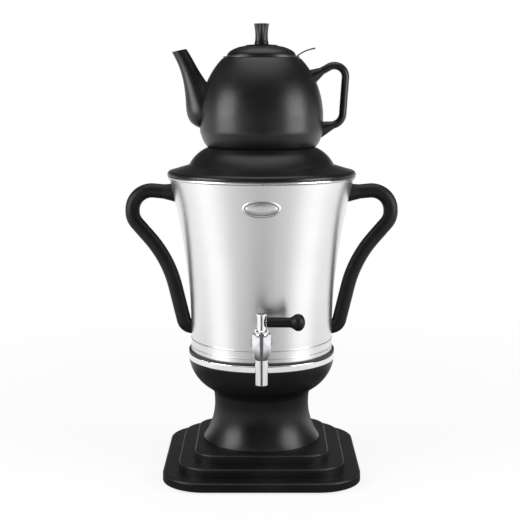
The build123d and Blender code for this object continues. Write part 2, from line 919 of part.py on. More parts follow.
# Washers on the inside of the wall, each shaped to it, and the screws through them
handle_holes = [(side, hole_z) for hole_z in (handle_top_z, handle_low_z) for side in (-1, 1)]
with BuildPart() as handle_washers:
    for side, hole_z in handle_holes:
        face_r = tank_r(hole_z) - tank_wall - washer_thickness
        with Locations(Plane.YZ.rotated((0, 0, 90 - 90 * side)).offset(face_r) * Location((0, hole_z))):
            Cylinder(washer_r, 2 * washer_thickness, align=(Align.CENTER, Align.CENTER, Align.MIN))
    add(tank_inside.part, mode=Mode.INTERSECT)
    for hole_z in (handle_top_z, handle_low_z):
        with Locations(Plane.YZ * Location((0, hole_z))):
            Cylinder(screw_r, 2 * tank_mouth_r, mode=Mode.SUBTRACT)
write_piece(handle_washers, "handle_washers")

with BuildPart() as handle_screws:
    for side, hole_z in handle_holes:
        face_r = tank_r(hole_z) - tank_wall - washer_thickness
        with Locations(Plane.YZ.rotated((0, 0, 90 - 90 * side)).offset(face_r) * Location((0, hole_z))):
            Cylinder(screw_head_r, screw_head_height, align=(Align.CENTER, Align.CENTER, Align.MAX))
            shank = washer_thickness + tank_wall + handle_bite
            Cylinder(screw_r, shank, align=(Align.CENTER, Align.CENTER, Align.MIN))
write_piece(handle_screws, "handle_screws")

# =====================================================================================
# Badge: an oval plate with a raised rim, curved to the front of the tank
# =====================================================================================
badge_z = tank_top - badge_drop
badge_start_y = -(tank_r(badge_z) - badge_height)


def tank_skin(thickness):
    """Makes a layer of the given thickness around the tank's wall."""
    with BuildPart() as skin:
        with BuildSketch(Plane.XZ):
            with BuildLine():
                low_end, high_end = waisted_side(
                    -thickness, tank_waist, tank_low, tank_high, tank_z, tank_high[1]
                )
                Polyline(high_end, (0, tank_high[1]), (0, tank_z), low_end)
            make_face()
        revolve(axis=Axis.Z)
        add(tank_outside.part, mode=Mode.SUBTRACT)
    return skin.part


with BuildPart() as badge_field:
    with BuildSketch(Plane.XZ.offset(-badge_start_y)):
        with Locations((0, badge_z)):
            Ellipse(badge_width / 2, badge_height / 2)
    extrude(amount=badge_height + badge_rim_thickness + tank_wall)
    add(tank_skin(badge_thickness), mode=Mode.INTERSECT)

with BuildPart() as badge:
    with BuildSketch(Plane.XZ.offset(-badge_start_y)):
        with Locations((0, badge_z)):
            Ellipse(badge_width / 2, badge_height / 2)
            Ellipse(
                badge_width / 2 - badge_rim_width,
                badge_height / 2 - badge_rim_width,
                mode=Mode.SUBTRACT,
            )
    extrude(amount=badge_height + badge_rim_thickness + tank_wall)
    add(tank_skin(badge_rim_thickness), mode=Mode.INTERSECT)
    add(badge_field.part)
write_piece(badge, "badge")

# =====================================================================================
# Tap: a chromed body through the wall, with a turning plug and a lever
# =====================================================================================
tap_y = tank_r(tap_z) + tap_standoff
inner_face_r = tank_r(tap_z) - tank_wall
# How far a flat disc has to stand off the curved wall so that its edge still meets it
wall_sag = tank_r(tap_z) - math.sqrt(tank_r(tap_z) ** 2 - tap_nut_r**2)
flange_back_y = tank_r(tap_z) + gasket_thickness
nut_front_y = inner_face_r - wall_sag - gasket_thickness
shank_back_y = nut_front_y - tap_nut_thickness - shank_end
barrel_top = tap_z + barrel_up
barrel_low = tap_z - barrel_down
plug_low = tap_z - port_r - plug_floor
plug_top = barrel_top - plug_play
stem_top = tap_z + lever_rise + grip_neck_r + stem_cap_height / 2
outlet_end = barrel_low - outlet_length


def across(distance):
    """Plane that faces -Y at this distance in front of the tank's axis."""
    return Plane.XZ.offset(distance)


with BuildPart() as tap_body:
    with BuildSketch(Plane.XZ.offset(tap_y)):
        with BuildLine():
            ThreePointArc((barrel_low_r, barrel_low), (barrel_r, tap_z), (barrel_end_r, barrel_top))
            Polyline(
                (barrel_end_r, barrel_top),
                (0, barrel_top),
                (0, outlet_end),
                (outlet_r, outlet_end),
                (outlet_r, barrel_low - shoulder_drop),
                (barrel_low_r, barrel_low),
            )
        make_face()
    revolve(axis=Axis((0, -tap_y, 0), (0, 0, 1)))
    with BuildSketch(across(shank_back_y)):
        with Locations((0, tap_z)):
            Circle(shank_r)
    extrude(amount=tap_y - shank_back_y)
    with BuildSketch(across(flange_back_y)):
        with Locations((0, tap_z)):
            Circle(tap_flange_r)
    extrude(amount=tap_flange_thickness)
    with BuildSketch(across(shank_back_y)):
        with Locations((0, tap_z)):
            Circle(shank_bore_r)
    extrude(amount=tap_y - shank_back_y, mode=Mode.SUBTRACT)
    with Locations((0, -tap_y, outlet_end)):
        Cylinder(
            outlet_bore_r,
            tap_z - outlet_end,
            align=(Align.CENTER, Align.CENTER, Align.MIN),
            mode=Mode.SUBTRACT,
        )
    with Locations((0, -tap_y, plug_low)):
        Cylinder(
            plug_r + plug_play,
            barrel_top - plug_low,
            align=(Align.CENTER, Align.CENTER, Align.MIN),
            mode=Mode.SUBTRACT,
        )
    outlet_rim = tap_body.edges().filter_by(GeomType.CIRCLE).group_by(Axis.Z)[0]
    fillet(outlet_rim.sort_by(SortBy.RADIUS)[-1], outlet_edge)
write_piece(tap_body, "tap_body")

# Gaskets on both sides of the wall, each shaped to it, and the nut that pulls them tight
with BuildPart() as tap_outer_gasket:
    with BuildSketch(across(flange_back_y)):
        with Locations((0, tap_z)):
            Circle(tap_flange_r)
            Circle(shank_r, mode=Mode.SUBTRACT)
    extrude(amount=-(gasket_thickness + wall_sag))
    add(tank_outside.part, mode=Mode.SUBTRACT)
write_piece(tap_outer_gasket, "tap_outer_gasket")

with BuildPart() as tap_inner_gasket:
    with BuildSketch(across(nut_front_y)):
        with Locations((0, tap_z)):
            Circle(tap_flange_r)
            Circle(shank_r, mode=Mode.SUBTRACT)
    extrude(amount=gasket_thickness + wall_sag)
    add(tank_inside.part, mode=Mode.INTERSECT)
write_piece(tap_inner_gasket, "tap_inner_gasket")

with BuildPart() as tap_nut:
    with BuildSketch(across(nut_front_y)):
        with Locations((0, tap_z)):
            RegularPolygon(tap_nut_r, 6)
            Circle(shank_r, mode=Mode.SUBTRACT)
    extrude(amount=-tap_nut_thickness)
write_piece(tap_nut, "tap_nut")

# Plug seal: a square-section ring, flush in a groove of the plug above its port
seal_z = tap_z + (port_r + barrel_up) / 2
with BuildPart() as plug_seal:
    with Locations((0, -tap_y, seal_z)):
        Cylinder(plug_r, plug_seal_height)
        Cylinder(plug_r - plug_seal_depth, plug_seal_height, mode=Mode.SUBTRACT)
write_piece(plug_seal, "plug_seal")

# Plug: a turned barrel with an L-shaped port, its stem passing up through the bonnet
lever_z = tap_z + lever_rise
with BuildPart() as tap_plug:
    with Locations((0, -tap_y, plug_low + plug_play)):
        Cylinder(plug_r, plug_top - plug_low - plug_play, align=(Align.CENTER, Align.CENTER, Align.MIN))
        Cylinder(stem_r, stem_top - plug_low - plug_play, align=(Align.CENTER, Align.CENTER, Align.MIN))
        Cylinder(
            outlet_bore_r,
            tap_z - plug_low - plug_play,
            align=(Align.CENTER, Align.CENTER, Align.MIN),
            mode=Mode.SUBTRACT,
        )
    with BuildSketch(Plane.YZ):
        with Locations((-tap_y, tap_z)):
            Circle(port_r)
    extrude(amount=-barrel_r, mode=Mode.SUBTRACT)
    add(plug_seal.part, mode=Mode.SUBTRACT)
    with BuildSketch(Plane.YZ):
        with Locations((-tap_y, lever_z)):
            Circle(lever_pin_r)
    extrude(amount=bonnet_r, mode=Mode.SUBTRACT)
write_piece(tap_plug, "tap_plug")

# Bonnet: a ring nut on top of the barrel that keeps the plug down
with BuildPart() as tap_bonnet:
    with Locations((0, -tap_y, barrel_top)):
        Cylinder(bonnet_r, bonnet_height, align=(Align.CENTER, Align.CENTER, Align.MIN))
        Cylinder(
            stem_r + plug_play,
            bonnet_height,
            align=(Align.CENTER, Align.CENTER, Align.MIN),
            mode=Mode.SUBTRACT,
        )
    fillet(tap_bonnet.edges().group_by(Axis.Z)[-1].sort_by(SortBy.RADIUS)[-1], bonnet_edge)
write_piece(tap_bonnet, "tap_bonnet")

# Lever: a pin in the stem with a moulded grip, pointing to +X when the tap is shut
with BuildPart() as lever_pin:
    with BuildSketch(Plane.YZ):
        with Locations((-tap_y, lever_z)):
            Circle(lever_pin_r)
    extrude(amount=grip_start + grip_length - lever_knob_length / 2)
write_piece(lever_pin, "lever_pin")

grip_end = grip_start + grip_length
knob_start = grip_end - lever_knob_length
knob_middle = grip_end - lever_knob_nose
with BuildPart() as lever_grip:
    with BuildSketch(Plane.XY.offset(lever_z)):
        with BuildLine():
            Polyline(
                (knob_start, -tap_y + grip_neck_r),
                (grip_start, -tap_y + grip_neck_r),
                (grip_start, -tap_y),
                (grip_end, -tap_y),
            )
            widest = round_side((knob_middle, -tap_y), lever_knob_nose, lever_knob_r, 0, 90)
            Spline(widest, (knob_start, -tap_y + grip_neck_r), tangents=[(-1, 0), (-1, 0)])
        make_face()
    revolve(axis=Axis((0, -tap_y, lever_z), (1, 0, 0)))
    add(lever_pin.part, mode=Mode.SUBTRACT)
write_piece(lever_grip, "lever_grip")

with BuildPart() as stem_cap:
    with Locations((0, -tap_y, stem_top)):
        Cylinder(stem_cap_r, stem_cap_height, align=(Align.CENTER, Align.CENTER, Align.MIN))
    fillet(stem_cap.edges().group_by(Axis.Z)[-1], bonnet_edge)
write_piece(stem_cap, "stem_cap")

# =====================================================================================
# Samovar lid: brim, shoulder, and a well with a steam plate that the teapot stands on
# =====================================================================================
lid_z = tank_top + lid_gap
crown_top = lid_z + crown_height
well_floor = crown_top - well_depth
floor_under = well_floor - steam_plate_thickness - lid_wall
pot_z = well_floor + lid_gap
pot_belly_z = pot_z + heel_rise
shoulder_z = pot_belly_z + belly_band
pot_top = pot_z + pot_height
heel_r = pot_r - heel_run


def pot_heel_r(z):
    """Outer radius of the teapot's heel at height z."""
    return heel_r + heel_run * math.sqrt(1 - ((pot_belly_z - z) / heel_rise) ** 2)


well_r = pot_heel_r(crown_top) + well_gap
crown_r = well_r + crown_rim
seat_r = well_r - seat_width
steam_opening_r = seat_r - steam_ledge
skirt_r = tank_mouth_r - tank_wall / 2 - rim_bead_r - skirt_gap
brim_top = lid_z + brim_edge_height

with BuildPart() as samovar_lid:
    with BuildSketch(Plane.XZ):
        with BuildLine():
            Line((brim_r, lid_z), (brim_r, brim_top - brim_round))
            ThreePointArc(
                (brim_r, brim_top - brim_round),
                (brim_r - brim_round * (1 - math.sqrt(0.5)), brim_top - brim_round * (1 - math.sqrt(0.5))),
                (brim_r - brim_round, brim_top),
            )
            Line((brim_r - brim_round, brim_top), (brim_inner_r, brim_top + brim_rise))
            SagittaArc((brim_inner_r, brim_top + brim_rise), (crown_r, crown_top), -crown_bulge)
            Polyline(
                (crown_r, crown_top),
                (well_r, crown_top),
                (well_r, well_floor),
                (seat_r, well_floor),
                (seat_r, well_floor - steam_plate_thickness),
                (steam_opening_r, well_floor - steam_plate_thickness),
                (steam_opening_r, floor_under),
                (well_r + lid_wall, floor_under),
                (well_r + lid_wall, crown_top - crown_thickness),
                (brim_inner_r - lid_wall, brim_top + brim_rise - lid_wall),
                (skirt_r - lid_wall, brim_top - lid_wall),
                (skirt_r - lid_wall, tank_top - skirt_depth),
                (skirt_r, tank_top - skirt_depth),
                (skirt_r, lid_z),
                (brim_r, lid_z),
            )
        make_face()
    revolve(axis=Axis.Z)
    crown_edges = samovar_lid.edges().filter_by(GeomType.CIRCLE).group_by(Axis.Z)[-1]
    fillet(crown_edges, crown_edge)
write_piece(samovar_lid, "samovar_lid")

# Steam plate: a slotted disc in the seat, flush with the floor of the well
with BuildPart() as steam_plate:
    with BuildSketch(Plane.XY.offset(well_floor - steam_plate_thickness)):
        Circle(seat_r)
        with PolarLocations(foot_inner_r - slot_length / 2, steam_slots):
            SlotOverall(slot_length, slot_width, mode=Mode.SUBTRACT)
        Circle(slot_width, mode=Mode.SUBTRACT)
    extrude(amount=steam_plate_thickness)
write_piece(steam_plate, "steam_plate")

# Lid gasket: a ring on the skirt, just inside the tank's rim
with BuildPart() as lid_gasket:
    with BuildSketch(Plane.XY.offset(lid_z)):
        Circle(skirt_r + skirt_gap - gasket_gap)
        Circle(skirt_r, mode=Mode.SUBTRACT)
    extrude(amount=-gasket_height)
write_piece(lid_gasket, "lid_gasket")

# =====================================================================================
# Teapot: an egg-shaped pot with a foot ring, a gooseneck spout and an ear handle
# =====================================================================================
shoulder_rise = (pot_top - shoulder_z) / math.sqrt(1 - (neck_r / pot_r) ** 2)
neck_angle = math.degrees(math.acos(neck_r / pot_r))
pot_floor = pot_z + foot_ring_depth + pot_wall
gallery_r = mouth_bore_r + gallery_width
gallery_z = pot_top - strainer_rim_thickness

with BuildPart() as pot_outside:
    with BuildSketch(Plane.XZ):
        with BuildLine():
            round_side((heel_r, pot_belly_z), heel_run, heel_rise, -90, 0)
            Line((pot_r, pot_belly_z), (pot_r, shoulder_z))
            neck = round_side((0, shoulder_z), pot_r, shoulder_rise, 0, neck_angle)
            Polyline(neck, (0, pot_top), (0, pot_z), (heel_r, pot_z))
        make_face()
    revolve(axis=Axis.Z)

with BuildPart() as pot_inside:
    with BuildSketch(Plane.XZ):
        with BuildLine():
            round_side((heel_r, pot_belly_z), heel_run - pot_wall, pot_belly_z - pot_floor, -90, 0)
            Line((pot_r - pot_wall, pot_belly_z), (pot_r - pot_wall, shoulder_z))
            inner_rise = shoulder_rise - pot_wall
            collar_angle = math.degrees(math.asin((pot_top - mouth_collar - shoulder_z) / inner_rise))
            neck = round_side((0, shoulder_z), pot_r - pot_wall, inner_rise, 0, collar_angle)
            Polyline(neck, (0, pot_top - mouth_collar), (0, pot_floor), (heel_r, pot_floor))
        make_face()
    revolve(axis=Axis.Z)

with BuildPart() as teapot_body:
    add(pot_outside.part)
    add(pot_inside.part, mode=Mode.SUBTRACT)
    with BuildSketch(Plane.XY.offset(pot_z)):
        Circle(foot_inner_r)
    extrude(amount=foot_ring_depth, mode=Mode.SUBTRACT)
    with BuildSketch(Plane.XY.offset(pot_top)):
        Circle(mouth_bore_r)
    extrude(amount=-mouth_collar, mode=Mode.SUBTRACT)
    with BuildSketch(Plane.XY.offset(pot_top)):
        Circle(gallery_r)
    extrude(amount=-strainer_rim_thickness, mode=Mode.SUBTRACT)
    with BuildSketch(Plane.YZ):
        with Locations((0, pot_z + spout_holes_rise)):
            with GridLocations(spout_hole_pitch, spout_hole_pitch, 3, 3):
                Circle(spout_hole_r)
    extrude(amount=-pot_r, mode=Mode.SUBTRACT)
write_piece(teapot_body, "teapot_body")


spout_tip = Vector(-(pot_r + spout_tip_out), 0, pot_z + spout_tip_rise)
spout_way = Vector(-spout_tip_lean, 0, 1)


def spout_solid(inset):
    """Makes the spout's tapering form, thinner by inset all round."""
    with BuildPart() as form:
        with BuildLine() as spine:
            Spline(
                (-(pot_r - spout_root_in), 0, pot_z + spout_root_rise),
                (-(pot_r + spout_bend_out), 0, pot_z + spout_bend_rise),
                spout_tip + spout_way * spout_tip_r,
                tangents=[(-spout_root_lean, 0, 1), spout_way],
            )
        for station in range(spout_stations):
            share = station / (spout_stations - 1)
            swell = share / spout_bulge_share * math.exp(1 - share / spout_bulge_share)
            station_r = spout_tip_r + spout_bulge * swell**2
            with BuildSketch(
                Plane(origin=spine.line @ share, z_dir=spine.line % share, x_dir=(0, 1, 0))
            ):
                Circle(station_r - inset)
        loft()
    return form.part


with BuildPart() as teapot_spout:
    add(spout_solid(0))
    add(spout_solid(spout_wall), mode=Mode.SUBTRACT)
    add(pot_outside.part, mode=Mode.SUBTRACT)
    tip_cut = Plane(origin=spout_tip, z_dir=(-spout_tip_slope, 0, 1))
    split(bisect_by=tip_cut, keep=Keep.BOTTOM)
write_piece(teapot_spout, "teapot_spout")

with BuildPart() as teapot_handle:
    with BuildLine() as ear:
        FilletPolyline(
            (pot_r - ear_top_in - ear_root_in, 0, pot_z + ear_top_rise - ear_arch),
            (pot_r + ear_out * ear_crest_share, 0, pot_z + ear_top_rise),
            (pot_r + ear_out, 0, pot_z + ear_top_rise - ear_thickness / 2),
            (pot_r + ear_out - ear_lean, 0, pot_z + ear_low_rise + ear_thickness),
            (pot_r - ear_root_in, 0, pot_z + ear_low_rise),
            radius=[ear_top_bend_r, ear_top_bend_r, ear_low_bend_r],
        )
    with BuildSketch(Plane(origin=ear.line @ 0, z_dir=ear.line % 0, x_dir=(0, 1, 0))):
        Ellipse(ear_width / 2, ear_thickness / 2)
    sweep(path=ear.line)
    for end, step in ((0, 1), (1, -1)):
        lug_dir = (ear.line % end).normalized() * step
        lug_start = Plane(origin=ear.line @ end, z_dir=lug_dir, x_dir=(0, 1, 0))
        with BuildSketch(lug_start):
            Ellipse(lug_width / 2, lug_height / 2)
        with BuildSketch(lug_start.offset(lug_length)):
            Ellipse(ear_width / 2, ear_thickness / 2)
        loft()
    add(pot_outside.part, mode=Mode.SUBTRACT)
write_piece(teapot_handle, "teapot_handle")

# =====================================================================================
# Strainer: a slotted basket that hangs in the mouth, with a bent lifting tab
# =====================================================================================
basket_r = mouth_bore_r - strainer_play
basket_bore_r = basket_r - strainer_wall
basket_floor = gallery_z - strainer_depth
with BuildPart() as tea_strainer:
    with BuildSketch(Plane.XY.offset(gallery_z)):
        Circle(gallery_r - strainer_play)
    extrude(amount=strainer_rim_thickness)
    with BuildSketch(Plane.XY.offset(gallery_z)):
        Circle(basket_r)
    extrude(amount=-strainer_depth)
    with BuildSketch(Plane.XY.offset(pot_top)):
        Circle(basket_bore_r)
    extrude(amount=basket_floor + strainer_wall - pot_top, mode=Mode.SUBTRACT)
    for row in range(strainer_rows):
        slot_z = basket_floor + strainer_depth * (row + 1) / (strainer_rows + 1)
        for turn in range(strainer_slots // 2):
            with BuildSketch(Plane.YZ.rotated((0, 0, 360 * turn / strainer_slots))):
                with Locations((0, slot_z)):
                    Rectangle(strainer_slot_width, strainer_slot_height)
            extrude(amount=gallery_r, both=True, mode=Mode.SUBTRACT)
    with BuildSketch(Plane.XY.offset(basket_floor)):
        with GridLocations(strainer_hole_pitch, strainer_hole_pitch, strainer_hole_rows, strainer_hole_rows):
            Circle(strainer_slot_width / 2)
    extrude(amount=strainer_wall, mode=Mode.SUBTRACT)
    tab_start = (gallery_r - strainer_play - tab_root, 0, pot_top - strainer_rim_thickness / 2)
    with BuildLine() as tab_line:
        TangentArc(
            (tab_start[0] + tab_reach, 0, tab_start[2] + tab_rise),
            tab_start,
            tangent=(-1, 0, -tab_slope),
        )
    with BuildSketch(Plane(origin=tab_line.line @ 1, z_dir=tab_line.line % 1, x_dir=(0, 1, 0))):
        RectangleRounded(tab_width, tab_thickness, tab_thickness / 3)
    sweep(path=tab_line.line)
write_piece(tea_strainer, "tea_strainer")

# =====================================================================================
# Teapot lid: a low dome on a flat flange, with a locating ring, a knob and its screw
# =====================================================================================
pot_lid_z = pot_top + pot_lid_seam
dome_z = pot_lid_z + flange_thickness
ring_r = basket_bore_r - strainer_play
dome_bore_r = ring_r - locating_ring_wall
dome_bore_rise = dome_rise - pot_lid_wall
knob_seat_z = dome_z + dome_rise * math.sqrt(1 - (knob_base_r / dome_r) ** 2)
screw_seat_z = dome_z + dome_bore_rise * math.sqrt(1 - (screw_head_r / dome_bore_r) ** 2)


def dome_outline(radius, rise, flat_r):
    """Draws the half section of a dome on the flange, cut flat at the radius flat_r."""
    turn = math.degrees(math.acos(flat_r / radius))
    flat = round_side((0, dome_z), radius, rise, 0, turn)
    Polyline(flat, (0, flat[1]), (0, dome_z), (radius, dome_z))


with BuildPart() as teapot_lid:
    with BuildSketch(Plane.XZ):
        with BuildLine():
            dome_outline(dome_r, dome_rise, knob_base_r)
        make_face()
    revolve(axis=Axis.Z)
    with BuildSketch(Plane.XY.offset(pot_lid_z)):
        Circle(flange_r)
    extrude(amount=flange_thickness)
    with BuildSketch(Plane.XY.offset(pot_lid_z)):
        Circle(ring_r)
    extrude(amount=-locating_ring_depth)
    with BuildSketch(Plane.XZ):
        with BuildLine():
            dome_outline(dome_bore_r, dome_bore_rise, screw_head_r)
        make_face()
    revolve(axis=Axis.Z, mode=Mode.SUBTRACT)
    with BuildSketch(Plane.XY.offset(dome_z)):
        Circle(dome_bore_r)
    extrude(amount=pot_lid_z - locating_ring_depth - dome_z, mode=Mode.SUBTRACT)
    with BuildSketch(Plane.XY.offset(knob_seat_z)):
        Circle(screw_r + screw_clearance)
    extrude(amount=screw_seat_z - knob_seat_z, mode=Mode.SUBTRACT)
    with Locations((ring_r + notch_play, 0, pot_lid_z)):
        Box(
            flange_r,
            tab_width + 2 * notch_play,
            notch_height,
            align=(Align.MIN, Align.CENTER, Align.MIN),
            mode=Mode.SUBTRACT,
        )
write_piece(teapot_lid, "teapot_lid")

# Knob: a flared finial with flutes, on the flat top of the dome
knob_top = knob_seat_z + knob_height
with BuildPart() as teapot_lid_knob:
    with BuildSketch(Plane.XZ):
        with BuildLine():
            waist_z = knob_seat_z + knob_height / 4
            ThreePointArc((knob_base_r, knob_seat_z), (knob_neck_r, waist_z), (knob_top_r, knob_top))
            Polyline((knob_top_r, knob_top), (0, knob_top), (0, knob_seat_z), (knob_base_r, knob_seat_z))
        make_face()
    revolve(axis=Axis.Z)
    fillet(teapot_lid_knob.edges().group_by(Axis.Z)[-1], knob_edge)
    with BuildSketch(Plane.XY.offset(knob_seat_z + knob_height / 4)):
        with PolarLocations(knob_top_r + flute_r - flute_depth, knob_flutes):
            Circle(flute_r)
    extrude(amount=knob_height, mode=Mode.SUBTRACT)
    with BuildSketch(Plane.XY.offset(knob_seat_z)):
        Circle(screw_r)
    extrude(amount=knob_height / 2, mode=Mode.SUBTRACT)
write_piece(teapot_lid_knob, "teapot_lid_knob")

with BuildPart() as knob_screw:
    with BuildSketch(Plane.XY.offset(screw_seat_z)):
        Circle(screw_head_r)
    extrude(amount=-screw_head_height)
    with BuildSketch(Plane.XY.offset(screw_seat_z)):
        Circle(screw_r)
    extrude(amount=knob_seat_z + knob_height / 2 - screw_clearance - screw_seat_z)
write_piece(knob_screw, "knob_screw")
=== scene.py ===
import math
import bpy
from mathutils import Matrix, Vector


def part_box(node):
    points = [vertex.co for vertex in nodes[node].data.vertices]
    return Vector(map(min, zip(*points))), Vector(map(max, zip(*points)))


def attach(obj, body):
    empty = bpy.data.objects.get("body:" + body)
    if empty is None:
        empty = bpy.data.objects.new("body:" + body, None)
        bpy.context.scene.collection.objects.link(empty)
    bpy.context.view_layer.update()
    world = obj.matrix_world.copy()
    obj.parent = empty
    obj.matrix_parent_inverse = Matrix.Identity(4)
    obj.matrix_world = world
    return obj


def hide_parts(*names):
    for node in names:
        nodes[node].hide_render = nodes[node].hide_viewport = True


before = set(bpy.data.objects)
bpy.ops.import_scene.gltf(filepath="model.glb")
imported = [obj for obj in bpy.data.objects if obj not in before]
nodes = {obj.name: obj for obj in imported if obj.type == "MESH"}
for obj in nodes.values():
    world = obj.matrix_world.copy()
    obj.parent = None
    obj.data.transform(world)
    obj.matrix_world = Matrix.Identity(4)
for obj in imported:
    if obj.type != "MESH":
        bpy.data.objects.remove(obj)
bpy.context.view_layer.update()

bpy.ops.object.select_all(action="DESELECT")

# ---------------------------------------------------------------------------------------
# View: from straight in front and a little above the tap, through a long lens that hardly
# tapers the upright lines. The lens is shifted a touch sideways.
# ---------------------------------------------------------------------------------------
view_distance = 1.150
view_height = 0.388
view_tilt = math.radians(81.5)
bpy.ops.object.camera_add(location=(0, -view_distance, view_height), rotation=(view_tilt, 0, 0))
front_view = bpy.context.object
front_view.name = "front_view"
front_view.data.sensor_width = 36
front_view.data.lens = 78.05
front_view.data.shift_x = -0.003
bpy.context.scene.camera = front_view
bpy.context.scene.view_settings.view_transform = "Standard"

# ---------------------------------------------------------------------------------------
# Studio: a softbox on each side of a table of white paper, and a white sweep behind. The
# camera looks in through a dark gap in the white.
# ---------------------------------------------------------------------------------------
softbox_distance = 0.95
softbox_height = 0.52
for softbox_name, turn in (("softbox_left", -67), ("softbox_right", 66)):
    angle = math.radians(turn)
    across, back = math.sin(angle), -math.cos(angle)
    place = (softbox_distance * across, softbox_distance * back, softbox_height)
    bpy.ops.object.light_add(type="AREA", location=place, rotation=(math.radians(90), 0, angle))
    softbox = bpy.context.object
    softbox.name = softbox_name
    softbox.data.shape = "RECTANGLE"
    softbox.data.size = 0.6
    softbox.data.size_y = 0.56
    softbox.data.energy = 8.3
    softbox.visible_camera = False


def spread(tree, value, low, high, least, most):
    """A smooth change from least to most as a node's value goes from low to high."""
    node = tree.nodes.new("ShaderNodeMapRange")
    node.interpolation_type = "SMOOTHSTEP"
    node.inputs["From Min"].default_value = low
    node.inputs["From Max"].default_value = high
    node.inputs["To Min"].default_value = least
    node.inputs["To Max"].default_value = most
    tree.links.new(value, node.inputs["Value"])
    return node.outputs[0]


def reckon(tree, operation, first, second=None):
    """One step of arithmetic on node values or plain numbers."""
    node = tree.nodes.new("ShaderNodeMath")
    node.operation = operation
    for socket, value in zip(node.inputs, (first, second)):
        if isinstance(value, (int, float)):
            socket.default_value = value
        elif value is not None:
            tree.links.new(value, socket)
    return node.outputs[0]


def sight(tree):
    """Masks for what the camera sees straight, and for what it sees in gloss or through glaze."""
    rays = tree.nodes.new("ShaderNodeLightPath")
    gloss, glaze = rays.outputs["Is Glossy Ray"], rays.outputs["Is Transmission Ray"]
    return rays.outputs["Is Camera Ray"], reckon(tree, "MAXIMUM", gloss, glaze)


def matt(name, shade):
    """Paper or card in one shade of grey, with hardly any gloss."""
    material = bpy.data.materials.new(name)
    material.use_nodes = True
    surface = material.node_tree.nodes["Principled BSDF"]
    surface.inputs["Base Color"].default_value = (shade, shade, shade, 1)
    surface.inputs["Roughness"].default_value = 0.9
    surface.inputs["Specular IOR Level"].default_value = 0.1
    return material


# Table: white paper that keeps the samovar's shadow. Reflections see it bright at the sides
# and behind, dim close round the plinth, and dark in front, where the camera stands
bpy.ops.mesh.primitive_plane_add(size=12, location=(0, 0, 0))
table_top = bpy.context.object
table_top.name = "table_top"
table_paper = matt("table_paper", 0.86)
tree = table_paper.node_tree
spot = tree.nodes.new("ShaderNodeTexCoord").outputs["Object"]
apart = tree.nodes.new("ShaderNodeSeparateXYZ")
tree.links.new(spot, apart.inputs[0])
reach = tree.nodes.new("ShaderNodeVectorMath")
reach.operation = "LENGTH"
tree.links.new(spot, reach.inputs[0])
sideways = reckon(tree, "ABSOLUTE", apart.outputs["X"])
ahead = spread(tree, sideways, 0.2, 0.5, 0.95, 0.6)
beside = spread(tree, sideways, 0.4, 0.6, 0.0, 0.62)
behind = spread(tree, apart.outputs["Y"], -0.1, 0.25, 0.9, 1.05)
gap = reckon(
    tree,
    "MAXIMUM",
    spread(tree, sideways, 0.3, 0.42, 0.06, 1.0),
    spread(tree, apart.outputs["Y"], -1.0, -0.84, 0.06, 1.0),
)
near = spread(tree, reach.outputs["Value"], 0.2, 0.48, 0.1, 1.0)
lit = reckon(tree, "MAXIMUM", reckon(tree, "ADD", ahead, beside), behind)
mirrored = reckon(tree, "MULTIPLY", lit, reckon(tree, "MULTIPLY", gap, near))
seen, seen_in_it = sight(tree)
white = tree.nodes.new("ShaderNodeEmission")
strength = reckon(tree, "ADD", seen, reckon(tree, "MULTIPLY", seen_in_it, mirrored))
tree.links.new(strength, white.inputs["Strength"])
# The share of plain white: all of it far off, and most of it wherever the table is mirrored
far = spread(tree, reach.outputs["Value"], 0.2, 0.9, 0.84, 1.0)
share_seen = reckon(tree, "MULTIPLY", seen, far)
share = reckon(tree, "MAXIMUM", share_seen, reckon(tree, "MULTIPLY", seen_in_it, 0.95))
blend = tree.nodes.new("ShaderNodeMixShader")
tree.links.new(share, blend.inputs["Fac"])
tree.links.new(tree.nodes["Principled BSDF"].outputs[0], blend.inputs[1])
tree.links.new(white.outputs[0], blend.inputs[2])
tree.links.new(blend.outputs[0], tree.nodes["Material Output"].inputs["Surface"])
table_top.data.materials.append(table_paper)

# Flag: a small grey card that stands in front of the tap, seen only in what the tap reflects
flag_width = 0.022
flag_height = 0.07
flag_middle = (0, -0.125, 0.134)
bpy.ops.mesh.primitive_plane_add(size=1, location=flag_middle, rotation=(math.radians(90), 0, 0))
flag = bpy.context.object
flag.name = "flag"
flag.scale = (flag_width, flag_height, 1)
flag.visible_camera = False
flag.visible_diffuse = False
flag.visible_shadow = False
flag.data.materials.append(matt("flag_card", 0.25))

# Backdrop: white where it is seen. In reflections it is white low down at the sides and
# behind, dim halfway up, light overhead, and dark where the camera stands
studio = bpy.data.worlds.new("studio")
bpy.context.scene.world = studio
studio.use_nodes = True
tree = studio.node_tree
tree.nodes.clear()
apart = tree.nodes.new("ShaderNodeSeparateXYZ")
tree.links.new(tree.nodes.new("ShaderNodeTexCoord").outputs["Generated"], apart.inputs[0])
sideways = reckon(tree, "ABSOLUTE", apart.outputs["X"])
front = spread(tree, sideways, 0.1, 0.4, 0.05, 0.3)
behind = spread(tree, apart.outputs["Y"], -0.1, 0.4, 0.0, 0.85)
low = spread(tree, apart.outputs["Z"], 0.05, 0.2, 1.0, 0.1)
above = spread(tree, apart.outputs["Z"], 0.7, 1.0, 0.0, 2.4)
walls = reckon(tree, "MULTIPLY", reckon(tree, "MAXIMUM", front, behind), low)
mirrored = reckon(tree, "ADD", walls, above)
seen, seen_in_it = sight(tree)
